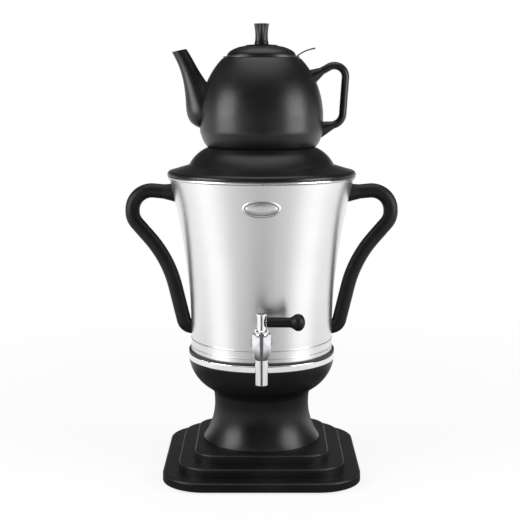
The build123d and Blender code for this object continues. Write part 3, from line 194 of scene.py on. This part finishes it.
# What is neither seen nor mirrored fills the shadows with a soft light
neither = reckon(tree, "SUBTRACT", 1.0, reckon(tree, "MAXIMUM", seen, seen_in_it))
fill = reckon(tree, "MULTIPLY", neither, 0.55)
white_and_fill = reckon(tree, "ADD", seen, fill)
strength = reckon(tree, "ADD", white_and_fill, reckon(tree, "MULTIPLY", seen_in_it, mirrored))
sweep = tree.nodes.new("ShaderNodeBackground")
sweep.inputs["Color"].default_value = (1, 1, 1, 1)
tree.links.new(strength, sweep.inputs["Strength"])
out = tree.nodes.new("ShaderNodeOutputWorld")
tree.links.new(sweep.outputs[0], out.inputs["Surface"])

# ---------------------------------------------------------------------------------------
# Plinth: three square tiers with soft corners, moulded in black plastic with a satin gloss.
# The tool marks show only as a slow change of gloss and a very fine grain.
# ---------------------------------------------------------------------------------------


class Finish:
    """A node material with one grained, tinted surface, read in the piece's own coordinates."""

    def __init__(self, name, metal=0.0):
        self.material = bpy.data.materials.new(name)
        self.material.use_nodes = True
        self.tree = self.material.node_tree
        self.surface = self.tree.nodes["Principled BSDF"]
        self.surface.inputs["Metallic"].default_value = metal
        self.place = self.tree.nodes.new("ShaderNodeTexCoord")

    def set(self, socket, value):
        """A value that is the same all over."""
        self.surface.inputs[socket].default_value = value

    def noise(self, size, detail=3.0, stretch=(1, 1, 1)):
        """Noise whose marks are about this many metres across, drawn out along an axis."""
        mapping = self.tree.nodes.new("ShaderNodeMapping")
        mapping.inputs["Scale"].default_value = stretch
        self.tree.links.new(self.place.outputs["Object"], mapping.inputs["Vector"])
        noise = self.tree.nodes.new("ShaderNodeTexNoise")
        noise.inputs["Scale"].default_value = 1.0 / size
        noise.inputs["Detail"].default_value = detail
        self.tree.links.new(mapping.outputs[0], noise.inputs["Vector"])
        return noise.outputs["Fac"]

    def colour(self, mask, dark, light, low=0.35, high=0.65):
        """Base colour from dark to light as the mask goes from low to high."""
        ramp = self.tree.nodes.new("ShaderNodeValToRGB")
        ramp.color_ramp.elements[0].position = low
        ramp.color_ramp.elements[0].color = (*dark, 1)
        ramp.color_ramp.elements[1].position = high
        ramp.color_ramp.elements[1].color = (*light, 1)
        self.tree.links.new(mask, ramp.inputs["Fac"])
        self.tree.links.new(ramp.outputs["Color"], self.surface.inputs["Base Color"])

    def vary(self, socket, mask, least, most, low=0.3, high=0.7):
        """A shader value from least to most as the mask goes from low to high."""
        change = self.tree.nodes.new("ShaderNodeMapRange")
        change.inputs["From Min"].default_value = low
        change.inputs["From Max"].default_value = high
        change.inputs["To Min"].default_value = least
        change.inputs["To Max"].default_value = most
        self.tree.links.new(mask, change.inputs["Value"])
        self.tree.links.new(change.outputs[0], self.surface.inputs[socket])

    def relief(self, mask, height, strength=1.0):
        """Adds a bump of this height in metres on top of any bump that is already there."""
        bump = self.tree.nodes.new("ShaderNodeBump")
        bump.inputs["Strength"].default_value = strength
        bump.inputs["Distance"].default_value = height
        normal = self.surface.inputs["Normal"]
        if normal.is_linked:
            self.tree.links.new(normal.links[0].from_socket, bump.inputs["Normal"])
        self.tree.links.new(mask, bump.inputs["Height"])
        self.tree.links.new(bump.outputs[0], normal)

    def dress(self, *names):
        """Puts this finish on CAD nodes."""
        for name in names:
            slots = nodes[name].data.materials
            slots.clear()
            slots.append(self.material)


def moulded_black(name, smoothest, roughest, specular):
    """Black plastic of nearly one colour, with a slow change of gloss and a very fine grain."""
    finish = Finish(name)
    finish.colour(finish.noise(0.05), (0.004, 0.004, 0.0044), (0.008, 0.008, 0.0084))
    finish.vary("Roughness", finish.noise(0.022, 5), smoothest, roughest)
    finish.set("Specular IOR Level", specular)
    finish.relief(finish.noise(0.0005, 2), 0.000012)
    return finish


plinth_moulding = moulded_black("plinth_moulding", 0.34, 0.42, 0.32)
plinth_moulding.dress("plinth")

# ---------------------------------------------------------------------------------------
# Base cover: a thin matt plate with air slots that closes the plinth from below, held by
# four zinc-plated screws, with four rubber feet pressed through it
# ---------------------------------------------------------------------------------------
cover_plastic = Finish("cover_plastic")
cover_plastic.colour(cover_plastic.noise(0.02), (0.014, 0.014, 0.015), (0.024, 0.024, 0.025))
cover_plastic.vary("Roughness", cover_plastic.noise(0.006, 4), 0.5, 0.66)
cover_plastic.relief(cover_plastic.noise(0.0007, 3), 0.00005)
cover_plastic.dress("base_cover")

zinc_plate = Finish("zinc_plate", metal=1.0)
zinc_plate.colour(zinc_plate.noise(0.003, 4), (0.46, 0.47, 0.49), (0.64, 0.63, 0.6))
zinc_plate.vary("Roughness", zinc_plate.noise(0.0015, 4), 0.28, 0.46)
zinc_plate.relief(zinc_plate.noise(0.0004, 3), 0.00001)
zinc_plate.dress("base_cover_screws", "column_screws", "handle_screws", "knob_screw")
zinc_plate.dress("tie_rods", "tie_nuts")

foot_rubber = Finish("foot_rubber")
foot_rubber.colour(foot_rubber.noise(0.004, 5), (0.016, 0.016, 0.016), (0.034, 0.033, 0.032))
foot_rubber.vary("Roughness", foot_rubber.noise(0.002, 4), 0.7, 0.9)
foot_rubber.relief(foot_rubber.noise(0.0006, 3), 0.00006)
foot_rubber.dress("foot_front_left", "foot_front_right", "foot_back_left", "foot_back_right")

# ---------------------------------------------------------------------------------------
# Column and heater housing: the waisted pedestal and the bowl on top of it, which hides the
# heating element. Both are moulded in black plastic, glossier than the plinth, and are
# clamped to the tank by rods inside them. The column is screwed to the plinth.
# ---------------------------------------------------------------------------------------
black_moulding = moulded_black("black_moulding", 0.27, 0.35, 0.3)
black_moulding.relief(black_moulding.noise(0.03, 1), 0.0001, 0.5)
black_moulding.dress("column", "heater_housing")

# ---------------------------------------------------------------------------------------
# Chrome band and tank seal: a bright rolled trim ring on the bowl's rim, and the thin dark
# silicone ring that the tank stands on
# ---------------------------------------------------------------------------------------
chrome = Finish("chrome", metal=1.0)
chrome.colour(chrome.noise(0.02, 4), (0.74, 0.75, 0.77), (0.8, 0.8, 0.81))
chrome.vary("Roughness", chrome.noise(0.008, 5), 0.08, 0.13)
chrome.dress("chrome_band")

seal_silicone = Finish("seal_silicone")
seal_silicone.colour(seal_silicone.noise(0.004, 4), (0.012, 0.012, 0.013), (0.022, 0.022, 0.023))
seal_silicone.vary("Roughness", seal_silicone.noise(0.002, 4), 0.45, 0.6)
seal_silicone.dress("tank_seal")

# ---------------------------------------------------------------------------------------
# Tank: drawn stainless sheet with a rolled rim, polished round and round to a satin. The
# pressed bottom is welded in. It keeps the sheet's darker mill finish, as do the element's
# tube and the steam plate in the lid.
# ---------------------------------------------------------------------------------------
polished_steel = Finish("polished_steel", metal=1.0)
polished_steel.colour(polished_steel.noise(0.06, 3), (0.7, 0.7, 0.705), (0.73, 0.73, 0.73))
rings = polished_steel.noise(0.1, 6, (1, 1, 160))
polished_steel.vary("Roughness", rings, 0.33, 0.37)
polished_steel.relief(rings, 0.0000006)
polished_steel.set("Anisotropic", 0.5)
polished_steel.set("Anisotropic Rotation", 0.25)
around = polished_steel.tree.nodes.new("ShaderNodeTangent")
around.direction_type = "RADIAL"
around.axis = "Z"
polished_steel.tree.links.new(around.outputs[0], polished_steel.surface.inputs["Tangent"])
polished_steel.dress("tank_shell")

inner_steel = Finish("inner_steel", metal=1.0)
inner_steel.colour(inner_steel.noise(0.03, 4), (0.54, 0.54, 0.54), (0.62, 0.615, 0.61))
inner_steel.vary("Roughness", inner_steel.noise(0.004, 5), 0.24, 0.38)
inner_steel.relief(inner_steel.noise(0.0012, 3), 0.00001)
inner_steel.dress("tank_bottom", "heater_tube", "steam_plate")


def draw_round(steps, start_z, start_r, middle=(0, 0)):
    """Draws the selected ring on through steps, each a height and a radius about the middle."""
    at_z, at_r = start_z, start_r
    for step_z, step_r in steps:
        grow = step_r / at_r
        bpy.ops.mesh.extrude_edges_move(TRANSFORM_OT_translate={"value": (0, 0, step_z - at_z)})
        bpy.ops.transform.resize(value=(grow, grow, 1), center_override=(*middle, step_z))
        at_z, at_r = step_z, step_r


def close_round():
    """Joins a section drawn all the way round to its start, and turns its faces outwards."""
    bpy.ops.mesh.select_all(action="SELECT")
    bpy.ops.mesh.remove_doubles(threshold=0.00001)
    bpy.ops.mesh.normals_make_consistent(inside=False)


# Two beads rolled round the foot of the tank, which stiffen the sheet
bead_r = 0.0725
bead_half = 0.0007
# Round the bead's section: how far up from its middle, and how far out from the sheet
bead_section = [(-0.0004, 0.0005), (0.0, 0.00065), (0.0004, 0.0005), (bead_half, 0.0), (-bead_half, 0.0)]
for bead_name, bead_z in (("tank_bead_low", 0.1285), ("tank_bead_high", 0.1362)):
    bead_start = bead_z - bead_half
    bpy.ops.mesh.primitive_circle_add(
        vertices=192, radius=bead_r, fill_type="NOTHING", location=(0, 0, bead_start)
    )
    bead = bpy.context.object
    bead.name = bead_name
    bpy.ops.object.transform_apply(location=True)
    bpy.ops.object.mode_set(mode="EDIT")
    bpy.ops.mesh.select_all(action="SELECT")
    draw_round([(bead_z + rise, bead_r + out) for rise, out in bead_section], bead_start, bead_r)
    close_round()
    bpy.ops.object.mode_set(mode="OBJECT")
    bpy.ops.object.shade_smooth()
    bead.data.materials.append(polished_steel.material)
    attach(bead, "stand")
    bpy.ops.object.select_all(action="DESELECT")

# ---------------------------------------------------------------------------------------
# Heating element, below the tank's bottom: a steel tube brazed to a cast aluminium plate,
# with ceramic beads on its two ends, a thermostat in a phenolic case and a fuse in a ceramic
# sleeve. The leads are sleeved in pale silicone, and the washers and gaskets are cut from it.
# ---------------------------------------------------------------------------------------
cast_aluminium = Finish("cast_aluminium", metal=1.0)
cast_aluminium.colour(cast_aluminium.noise(0.01, 5), (0.5, 0.5, 0.51), (0.7, 0.7, 0.7))
cast_aluminium.vary("Roughness", cast_aluminium.noise(0.002, 4), 0.38, 0.55)
cast_aluminium.relief(cast_aluminium.noise(0.001, 4), 0.00004)
cast_aluminium.dress("heater_plate")

steatite = Finish("steatite")
steatite.colour(steatite.noise(0.0015, 5), (0.62, 0.6, 0.55), (0.78, 0.76, 0.71))
steatite.vary("Roughness", steatite.noise(0.001, 4), 0.5, 0.7)
steatite.dress("heater_insulators", "thermal_fuse")

phenolic = Finish("phenolic")
phenolic.colour(phenolic.noise(0.002, 5), (0.02, 0.014, 0.01), (0.05, 0.034, 0.022))
phenolic.vary("Roughness", phenolic.noise(0.001, 4), 0.35, 0.55)
phenolic.dress("thermostat")

lead_sleeve = Finish("lead_sleeve")
lead_sleeve.colour(lead_sleeve.noise(0.005, 4), (0.5, 0.49, 0.46), (0.66, 0.65, 0.62))
lead_sleeve.vary("Roughness", lead_sleeve.noise(0.002, 4), 0.4, 0.6)
lead_sleeve.dress("wiring", "handle_washers", "lid_gasket", "tap_inner_gasket", "tap_outer_gasket")

# ---------------------------------------------------------------------------------------
# Mains inlet and switch: matt black housings let into the flat rear panel of the bowl. The
# inlet has three brass pins, and the switch a red rocker that tips about two pegs.
# ---------------------------------------------------------------------------------------
cover_plastic.dress("mains_inlet", "switch_body")

brass = Finish("brass", metal=1.0)
brass.colour(brass.noise(0.002, 4), (0.7, 0.5, 0.22), (0.82, 0.62, 0.32))
brass.vary("Roughness", brass.noise(0.001, 4), 0.22, 0.36)
brass.dress("inlet_pins", "tap_nut")

rocker_red = Finish("rocker_red")
rocker_red.colour(rocker_red.noise(0.004, 3), (0.42, 0.012, 0.01), (0.52, 0.02, 0.015))
rocker_red.vary("Roughness", rocker_red.noise(0.002, 4), 0.2, 0.3)
rocker_red.dress("rocker")


def press_onto(piece, target_name, both_ways):
    """Moves a piece's points onto a CAD node along Y, towards the front or also towards the back."""
    press = piece.modifiers.new("press", "SHRINKWRAP")
    press.target = nodes[target_name]
    press.wrap_method = "PROJECT"
    press.use_project_x = False
    press.use_project_y = True
    press.use_project_z = False
    press.use_negative_direction = True
    press.use_positive_direction = both_ways
    bpy.ops.object.modifier_apply(modifier=press.name)


def face_outwards():
    """Turns the faces of the piece in hand outwards."""
    bpy.ops.object.mode_set(mode="EDIT")
    bpy.ops.mesh.select_all(action="SELECT")
    bpy.ops.mesh.normals_make_consistent(inside=False)
    bpy.ops.object.mode_set(mode="OBJECT")


# Marks printed on the rocker: a ring for off above a bar for on. They are drawn clear of it
# and then pressed onto it
low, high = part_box("rocker")
mark_x = (low[0] + high[0]) / 2
mark_middle_z = (low[2] + high[2]) / 2
mark_from_middle = (high[2] - low[2]) / 4
mark_line = 0.0005
mark_ring_r = 0.0014
mark_bar_length = 2 * mark_ring_r
mark_bar_edge = mark_line / 8
mark_clear = 0.005
mark_ink = Finish("mark_ink")
mark_ink.colour(mark_ink.noise(0.0004, 4), (0.62, 0.61, 0.59), (0.74, 0.73, 0.71))
mark_ink.vary("Roughness", mark_ink.noise(0.0003, 3), 0.35, 0.5)
for mark_name, mark_z, mark_r in (
    ("mark_off", mark_middle_z + mark_from_middle, mark_ring_r),
    ("mark_on", mark_middle_z - mark_from_middle, mark_line / 2),
):
    mark_middle = (mark_x, high[1] + mark_clear, mark_z)
    bpy.ops.mesh.primitive_circle_add(
        vertices=32,
        radius=mark_r,
        fill_type="NOTHING",
        location=mark_middle,
        rotation=(math.radians(90), 0, 0),
    )
    mark = bpy.context.object
    mark.name = mark_name
    bpy.ops.object.transform_apply(location=True, rotation=True)
    if mark_name == "mark_on":
        # The small circle's upper half is drawn up, which leaves a bar with round ends
        bpy.ops.object.mode_set(mode="EDIT")
        bpy.ops.mesh.select_all(action="DESELECT")
        bpy.ops.object.mode_set(mode="OBJECT")
        for vertex in mark.data.vertices:
            vertex.select = vertex.co.z > mark_z
        bpy.ops.object.mode_set(mode="EDIT")
        bpy.ops.mesh.select_mode(type="VERT")
        bpy.ops.transform.translate(value=(0, 0, mark_bar_length))
        bpy.ops.mesh.select_all(action="SELECT")
        bpy.ops.transform.translate(value=(0, 0, -mark_bar_length / 2))
        bpy.ops.mesh.edge_face_add()
        bpy.ops.mesh.inset(thickness=mark_bar_edge)
    else:
        # The circle is drawn inwards into a ring
        bpy.ops.object.mode_set(mode="EDIT")
        bpy.ops.mesh.select_all(action="SELECT")
        bpy.ops.mesh.extrude_edges_move()
        inside = 1 - mark_line / mark_r
        bpy.ops.transform.resize(value=(inside, 1, inside), center_override=mark_middle)
    bpy.ops.object.mode_set(mode="OBJECT")
    press_onto(mark, "rocker", both_ways=False)
    ink = mark.modifiers.new("ink", "SOLIDIFY")
    ink.thickness = 0.0001
    ink.offset = 0
    bpy.ops.object.modifier_apply(modifier=ink.name)
    face_outwards()
    bpy.ops.object.shade_smooth_by_angle(angle=math.radians(40))
    mark.data.materials.append(mark_ink.material)
    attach(mark, "switch_key")
    bpy.ops.object.select_all(action="DESELECT")

# ---------------------------------------------------------------------------------------
# Side handles: S-shaped grips moulded in heat-resistant black plastic, more matt than the
# lid. Each is screwed on from inside the tank, with washers that seal the holes in the wall.
# ---------------------------------------------------------------------------------------
black_grip = Finish("black_grip")
black_grip.colour(black_grip.noise(0.02, 4), (0.004, 0.004, 0.0045), (0.008, 0.008, 0.0085))
black_grip.vary("Roughness", black_grip.noise(0.01, 5), 0.4, 0.5)
black_grip.set("Specular IOR Level", 0.2)
black_grip.relief(black_grip.noise(0.0006, 2), 0.000015)
black_grip.dress("handle_left", "handle_right")

# ---------------------------------------------------------------------------------------
# Badge: a pressed oval plate, bare, stuck to the front of the tank. It has a bright rolled
# rim, a groove inside it whose steel is coloured darker as painted shade, and a field of the
# tank's own steel that swells a little.
# ---------------------------------------------------------------------------------------
low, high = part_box("badge")
# The rim reaches this far past the plate above and below. The oval is drawn clear of the wall
# and then pressed onto it.
badge_lip = 0.001
badge_clear = 0.01
badge_corners = 96
badge_flat_edge = 0.0004
badge_half_width = (high[0] - low[0]) / 2
badge_half_height = (high[2] - low[2]) / 2 + badge_lip
badge_middle = (0, low[1] - badge_clear, (low[2] + high[2]) / 2)
bpy.ops.mesh.primitive_circle_add(
    vertices=badge_corners,
    radius=1,
    fill_type="NOTHING",
    location=badge_middle,
    rotation=(math.radians(90), 0, 0),
)
badge_plate = bpy.context.object
badge_plate.name = "badge_plate"
badge_plate.scale = (badge_half_width, badge_half_height, 1)
bpy.ops.object.transform_apply(location=True, rotation=True, scale=True)
# Rings from the edge inwards: how wide each step is, and how far each ring, with the edge as
# the first, is raised off the wall
badge_steps = [0.0004, 0.0005, 0.0006, 0.0004, 0.0004, 0.0005, 0.0013, 0.0016, 0.0012]
badge_lifts = [0.0, 0.0007, 0.0012, 0.0013, 0.0008, 0.0004, 0.0005, 0.0009, 0.0012, 0.0013]
rim_ends_at, groove_ends_at = 4, 6
bpy.ops.object.mode_set(mode="EDIT")
bpy.ops.mesh.select_all(action="SELECT")
for step in badge_steps:
    bpy.ops.mesh.extrude_edges_move()
    shrink = (1 - step / badge_half_width, 1, 1 - step / badge_half_height)
    bpy.ops.transform.resize(value=shrink, center_override=badge_middle)
    badge_half_width -= step
    badge_half_height -= step
bpy.ops.mesh.edge_face_add()
bpy.ops.mesh.inset(thickness=badge_flat_edge)
bpy.ops.object.mode_set(mode="OBJECT")
press_onto(badge_plate, "tank_shell", both_ways=True)
for vertex in badge_plate.data.vertices:
    vertex.co.y -= badge_lifts[min(vertex.index // badge_corners, len(badge_steps))]
face_outwards()
bpy.ops.object.shade_smooth_by_angle(angle=math.radians(50))

badge_rim = Finish("badge_rim", metal=1.0)
badge_rim.colour(badge_rim.noise(0.01, 4), (0.76, 0.76, 0.77), (0.82, 0.82, 0.82))
badge_rim.vary("Roughness", badge_rim.noise(0.003, 4), 0.4, 0.5)

# Painted shade: the groove's steel is coloured darker than the field, for the shade in the hollow
groove_painted_shade = Finish("groove_painted_shade", metal=1.0)
groove_painted_shade.colour(groove_painted_shade.noise(0.002, 4), (0.2, 0.2, 0.2), (0.3, 0.3, 0.3))
groove_painted_shade.vary("Roughness", groove_painted_shade.noise(0.001, 4), 0.4, 0.55)

for badge_finish in (badge_rim, polished_steel, groove_painted_shade):
    badge_plate.data.materials.append(badge_finish.material)
on_rim, on_field, in_groove = range(3)
for face in badge_plate.data.polygons:
    ring = max(face.vertices) // badge_corners
    within_rim, within_groove = ring <= rim_ends_at, ring <= groove_ends_at
    face.material_index = on_rim if within_rim else in_groove if within_groove else on_field
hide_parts("badge")
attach(badge_plate, "stand")
bpy.ops.object.select_all(action="DESELECT")

# ---------------------------------------------------------------------------------------
# Tap: chromed brass, with a black grip on its lever. The shank passes through the tank's
# wall between two gaskets and is pulled tight by a nut inside, and a turning plug with a
# sealing ring lets the water through.
# ---------------------------------------------------------------------------------------
chrome.dress("tap_body", "tap_plug", "lever_pin", "stem_cap")
black_grip.dress("lever_grip")
seal_silicone.dress("plug_seal")

# Bonnet: a chromed ring nut with a knurled side, turned by hand onto the barrel
low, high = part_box("tap_bonnet")
bonnet_middle = ((low[0] + high[0]) / 2, (low[1] + high[1]) / 2)
bonnet_teeth = 40
tooth_depth = 0.00028
tooth_taper = 0.00008
# The side between the teeth stands back this far from the nut's full radius
tooth_root = 0.0004
bonnet_side_r = (high[0] - low[0]) / 2 - tooth_root
bpy.ops.mesh.primitive_circle_add(
    vertices=2 * bonnet_teeth,
    radius=bonnet_side_r,
    fill_type="NOTHING",
    location=(*bonnet_middle, low[2]),
)
bonnet_nut = bpy.context.object
bonnet_nut.name = "bonnet_nut"
bpy.ops.object.transform_apply(location=True)
bpy.ops.object.mode_set(mode="EDIT")
bpy.ops.mesh.select_all(action="SELECT")
# Round the section of the nut: how far up, and the radius there
bonnet_bore_r = 0.00435
bonnet_section = [
    (0.0004, bonnet_side_r), (0.0029, bonnet_side_r), (0.0034, 0.006), (0.004, 0.0055),
    (0.004, bonnet_bore_r), (0.0, bonnet_bore_r), (0.0, bonnet_side_r),
]
bonnet_rings = [(low[2] + rise, step_r) for rise, step_r in bonnet_section]
draw_round(bonnet_rings, low[2], bonnet_side_r, bonnet_middle)
close_round()
bpy.ops.mesh.select_all(action="DESELECT")
bpy.ops.object.mode_set(mode="OBJECT")
# Every other face of the outer side, between the nut's two edges, is drawn out into a tooth
side_from, side_to, side_beyond_r = 0.0003, 0.003, 0.006
for face in bonnet_nut.data.polygons:
    out_x, out_y = face.center.x - bonnet_middle[0], face.center.y - bonnet_middle[1]
    tooth = math.atan2(out_y, out_x) * bonnet_teeth / (2 * math.pi)
    on_height = side_from < face.center.z - low[2] < side_to
    on_side = on_height and math.hypot(out_x, out_y) > side_beyond_r
    face.select = on_side and tooth % 1 < 0.5
bpy.ops.object.mode_set(mode="EDIT")
bpy.ops.mesh.select_mode(type="FACE")
bpy.ops.mesh.inset(thickness=tooth_taper, use_individual=True, depth=tooth_depth)
bpy.ops.object.mode_set(mode="OBJECT")
bpy.ops.object.shade_smooth_by_angle(angle=math.radians(30))
bonnet_nut.data.materials.append(chrome.material)
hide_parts("tap_bonnet")
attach(bonnet_nut, "stand")
bpy.ops.object.select_all(action="DESELECT")

# ---------------------------------------------------------------------------------------
# Samovar lid: a black moulding whose brim rests on the tank's rolled rim, with a well for the
# teapot and a slotted steel plate in its floor. A silicone ring on its skirt seals it.
# ---------------------------------------------------------------------------------------
black_moulding.dress("samovar_lid")

# ---------------------------------------------------------------------------------------
# Teapot: slip-cast stoneware under a satin black glaze, with the spout and the ear handle
# luted on before it was fired. Its domed lid drops into the mouth.
# ---------------------------------------------------------------------------------------
black_glaze = Finish("black_glaze")
black_glaze.colour(black_glaze.noise(0.03, 4), (0.004, 0.004, 0.0044), (0.008, 0.008, 0.0084))
black_glaze.vary("Roughness", black_glaze.noise(0.012, 5), 0.33, 0.39)
black_glaze.set("Specular IOR Level", 0.36)
black_glaze.relief(black_glaze.noise(0.014, 2), 0.00012, 0.5)
black_glaze.dress("teapot_body", "teapot_spout", "teapot_handle", "teapot_lid")

# Strainer: pressed sheet with a bent tab to lift it by. Its steel is coloured near black, a
# painted reflection of the dark surroundings
strainer_painted_reflection = Finish("strainer_painted_reflection", metal=1.0)
strainer_painted_reflection.colour(strainer_painted_reflection.noise(0.01, 4), (0.1, 0.095, 0.09), (0.2, 0.195, 0.19))
strainer_painted_reflection.vary("Roughness", strainer_painted_reflection.noise(0.003, 5), 0.35, 0.5)
strainer_painted_reflection.relief(strainer_painted_reflection.noise(0.0012, 3), 0.00001)
strainer_painted_reflection.dress("tea_strainer")

# Lid knob: a flared finial moulded in black, with eight flutes that deepen towards the top
low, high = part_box("teapot_lid_knob")
knob_flutes = 8
knob_foot_r = 0.0074
knob_foot_rim = 0.0012
bpy.ops.mesh.primitive_circle_add(
    vertices=2 * knob_flutes, radius=knob_foot_r, fill_type="NGON", location=(0, 0, low[2])
)
lid_knob = bpy.context.object
lid_knob.name = "lid_knob"
bpy.ops.object.transform_apply(location=True)
bpy.ops.object.mode_set(mode="EDIT")
bpy.ops.mesh.select_all(action="SELECT")
bpy.ops.mesh.inset(thickness=knob_foot_rim)
bpy.ops.mesh.select_all(action="DESELECT")
bpy.ops.object.mode_set(mode="OBJECT")
knob_points = lid_knob.data.vertices
within_rim_r = knob_foot_r - knob_foot_rim / 2
for edge in lid_knob.data.edges:
    edge.select = all(knob_points[i].co.xy.length > within_rim_r for i in edge.vertices)
bpy.ops.object.mode_set(mode="EDIT")
bpy.ops.mesh.select_mode(type="EDGE")
# Each step up the knob: its rise as a share of the height, its radius, and the flutes' depth
knob_steps = [
    (0.05, 0.0074, 0.0), (0.16, 0.0068, 0.0002), (0.34, 0.0066, 0.0006), (0.55, 0.0068, 0.0009),
    (0.75, 0.0073, 0.0012), (0.9, 0.0079, 0.0014), (0.97, 0.0083, 0.0014), (1.0, 0.0082, 0.0013),
]
knob_height = high[2] - low[2]
knob_rings = [(low[2] + share * knob_height, step_r) for share, step_r, _ in knob_steps]
draw_round(knob_rings, low[2], knob_foot_r)
# The top: a narrow lip round a shallow dish, closed in the middle by a small flat
knob_lip = 0.0014
knob_dish = 0.0003
knob_dish_side = 0.003
bpy.ops.mesh.edge_face_add()
bpy.ops.mesh.inset(thickness=knob_lip)
bpy.ops.transform.translate(value=(0, 0, -knob_dish))
bpy.ops.mesh.inset(thickness=knob_dish_side)
bpy.ops.object.mode_set(mode="OBJECT")
# Every other corner, all the way up, is drawn inwards by the flutes' depth at its height
knob_slack = 0.02
for vertex in lid_knob.data.vertices:
    turn = math.atan2(vertex.co.y, vertex.co.x) * knob_flutes / (2 * math.pi)
    rise = (vertex.co.z - low[2]) / knob_height
    depths = [depth for share, _, depth in knob_steps if rise >= share - knob_slack]
    if abs(turn - round(turn)) > 0.25:
        vertex.co.xy *= 1 - max(depths, default=0.0) / knob_foot_r
rounding = lid_knob.modifiers.new("rounding", "SUBSURF")
rounding.levels = 3
rounding.render_levels = 3
bpy.ops.object.modifier_apply(modifier=rounding.name)
face_outwards()
bpy.ops.object.shade_smooth()
lid_knob.data.materials.append(black_moulding.material)
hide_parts("teapot_lid_knob")
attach(lid_knob, "teapot_cover")
bpy.ops.object.select_all(action="DESELECT")
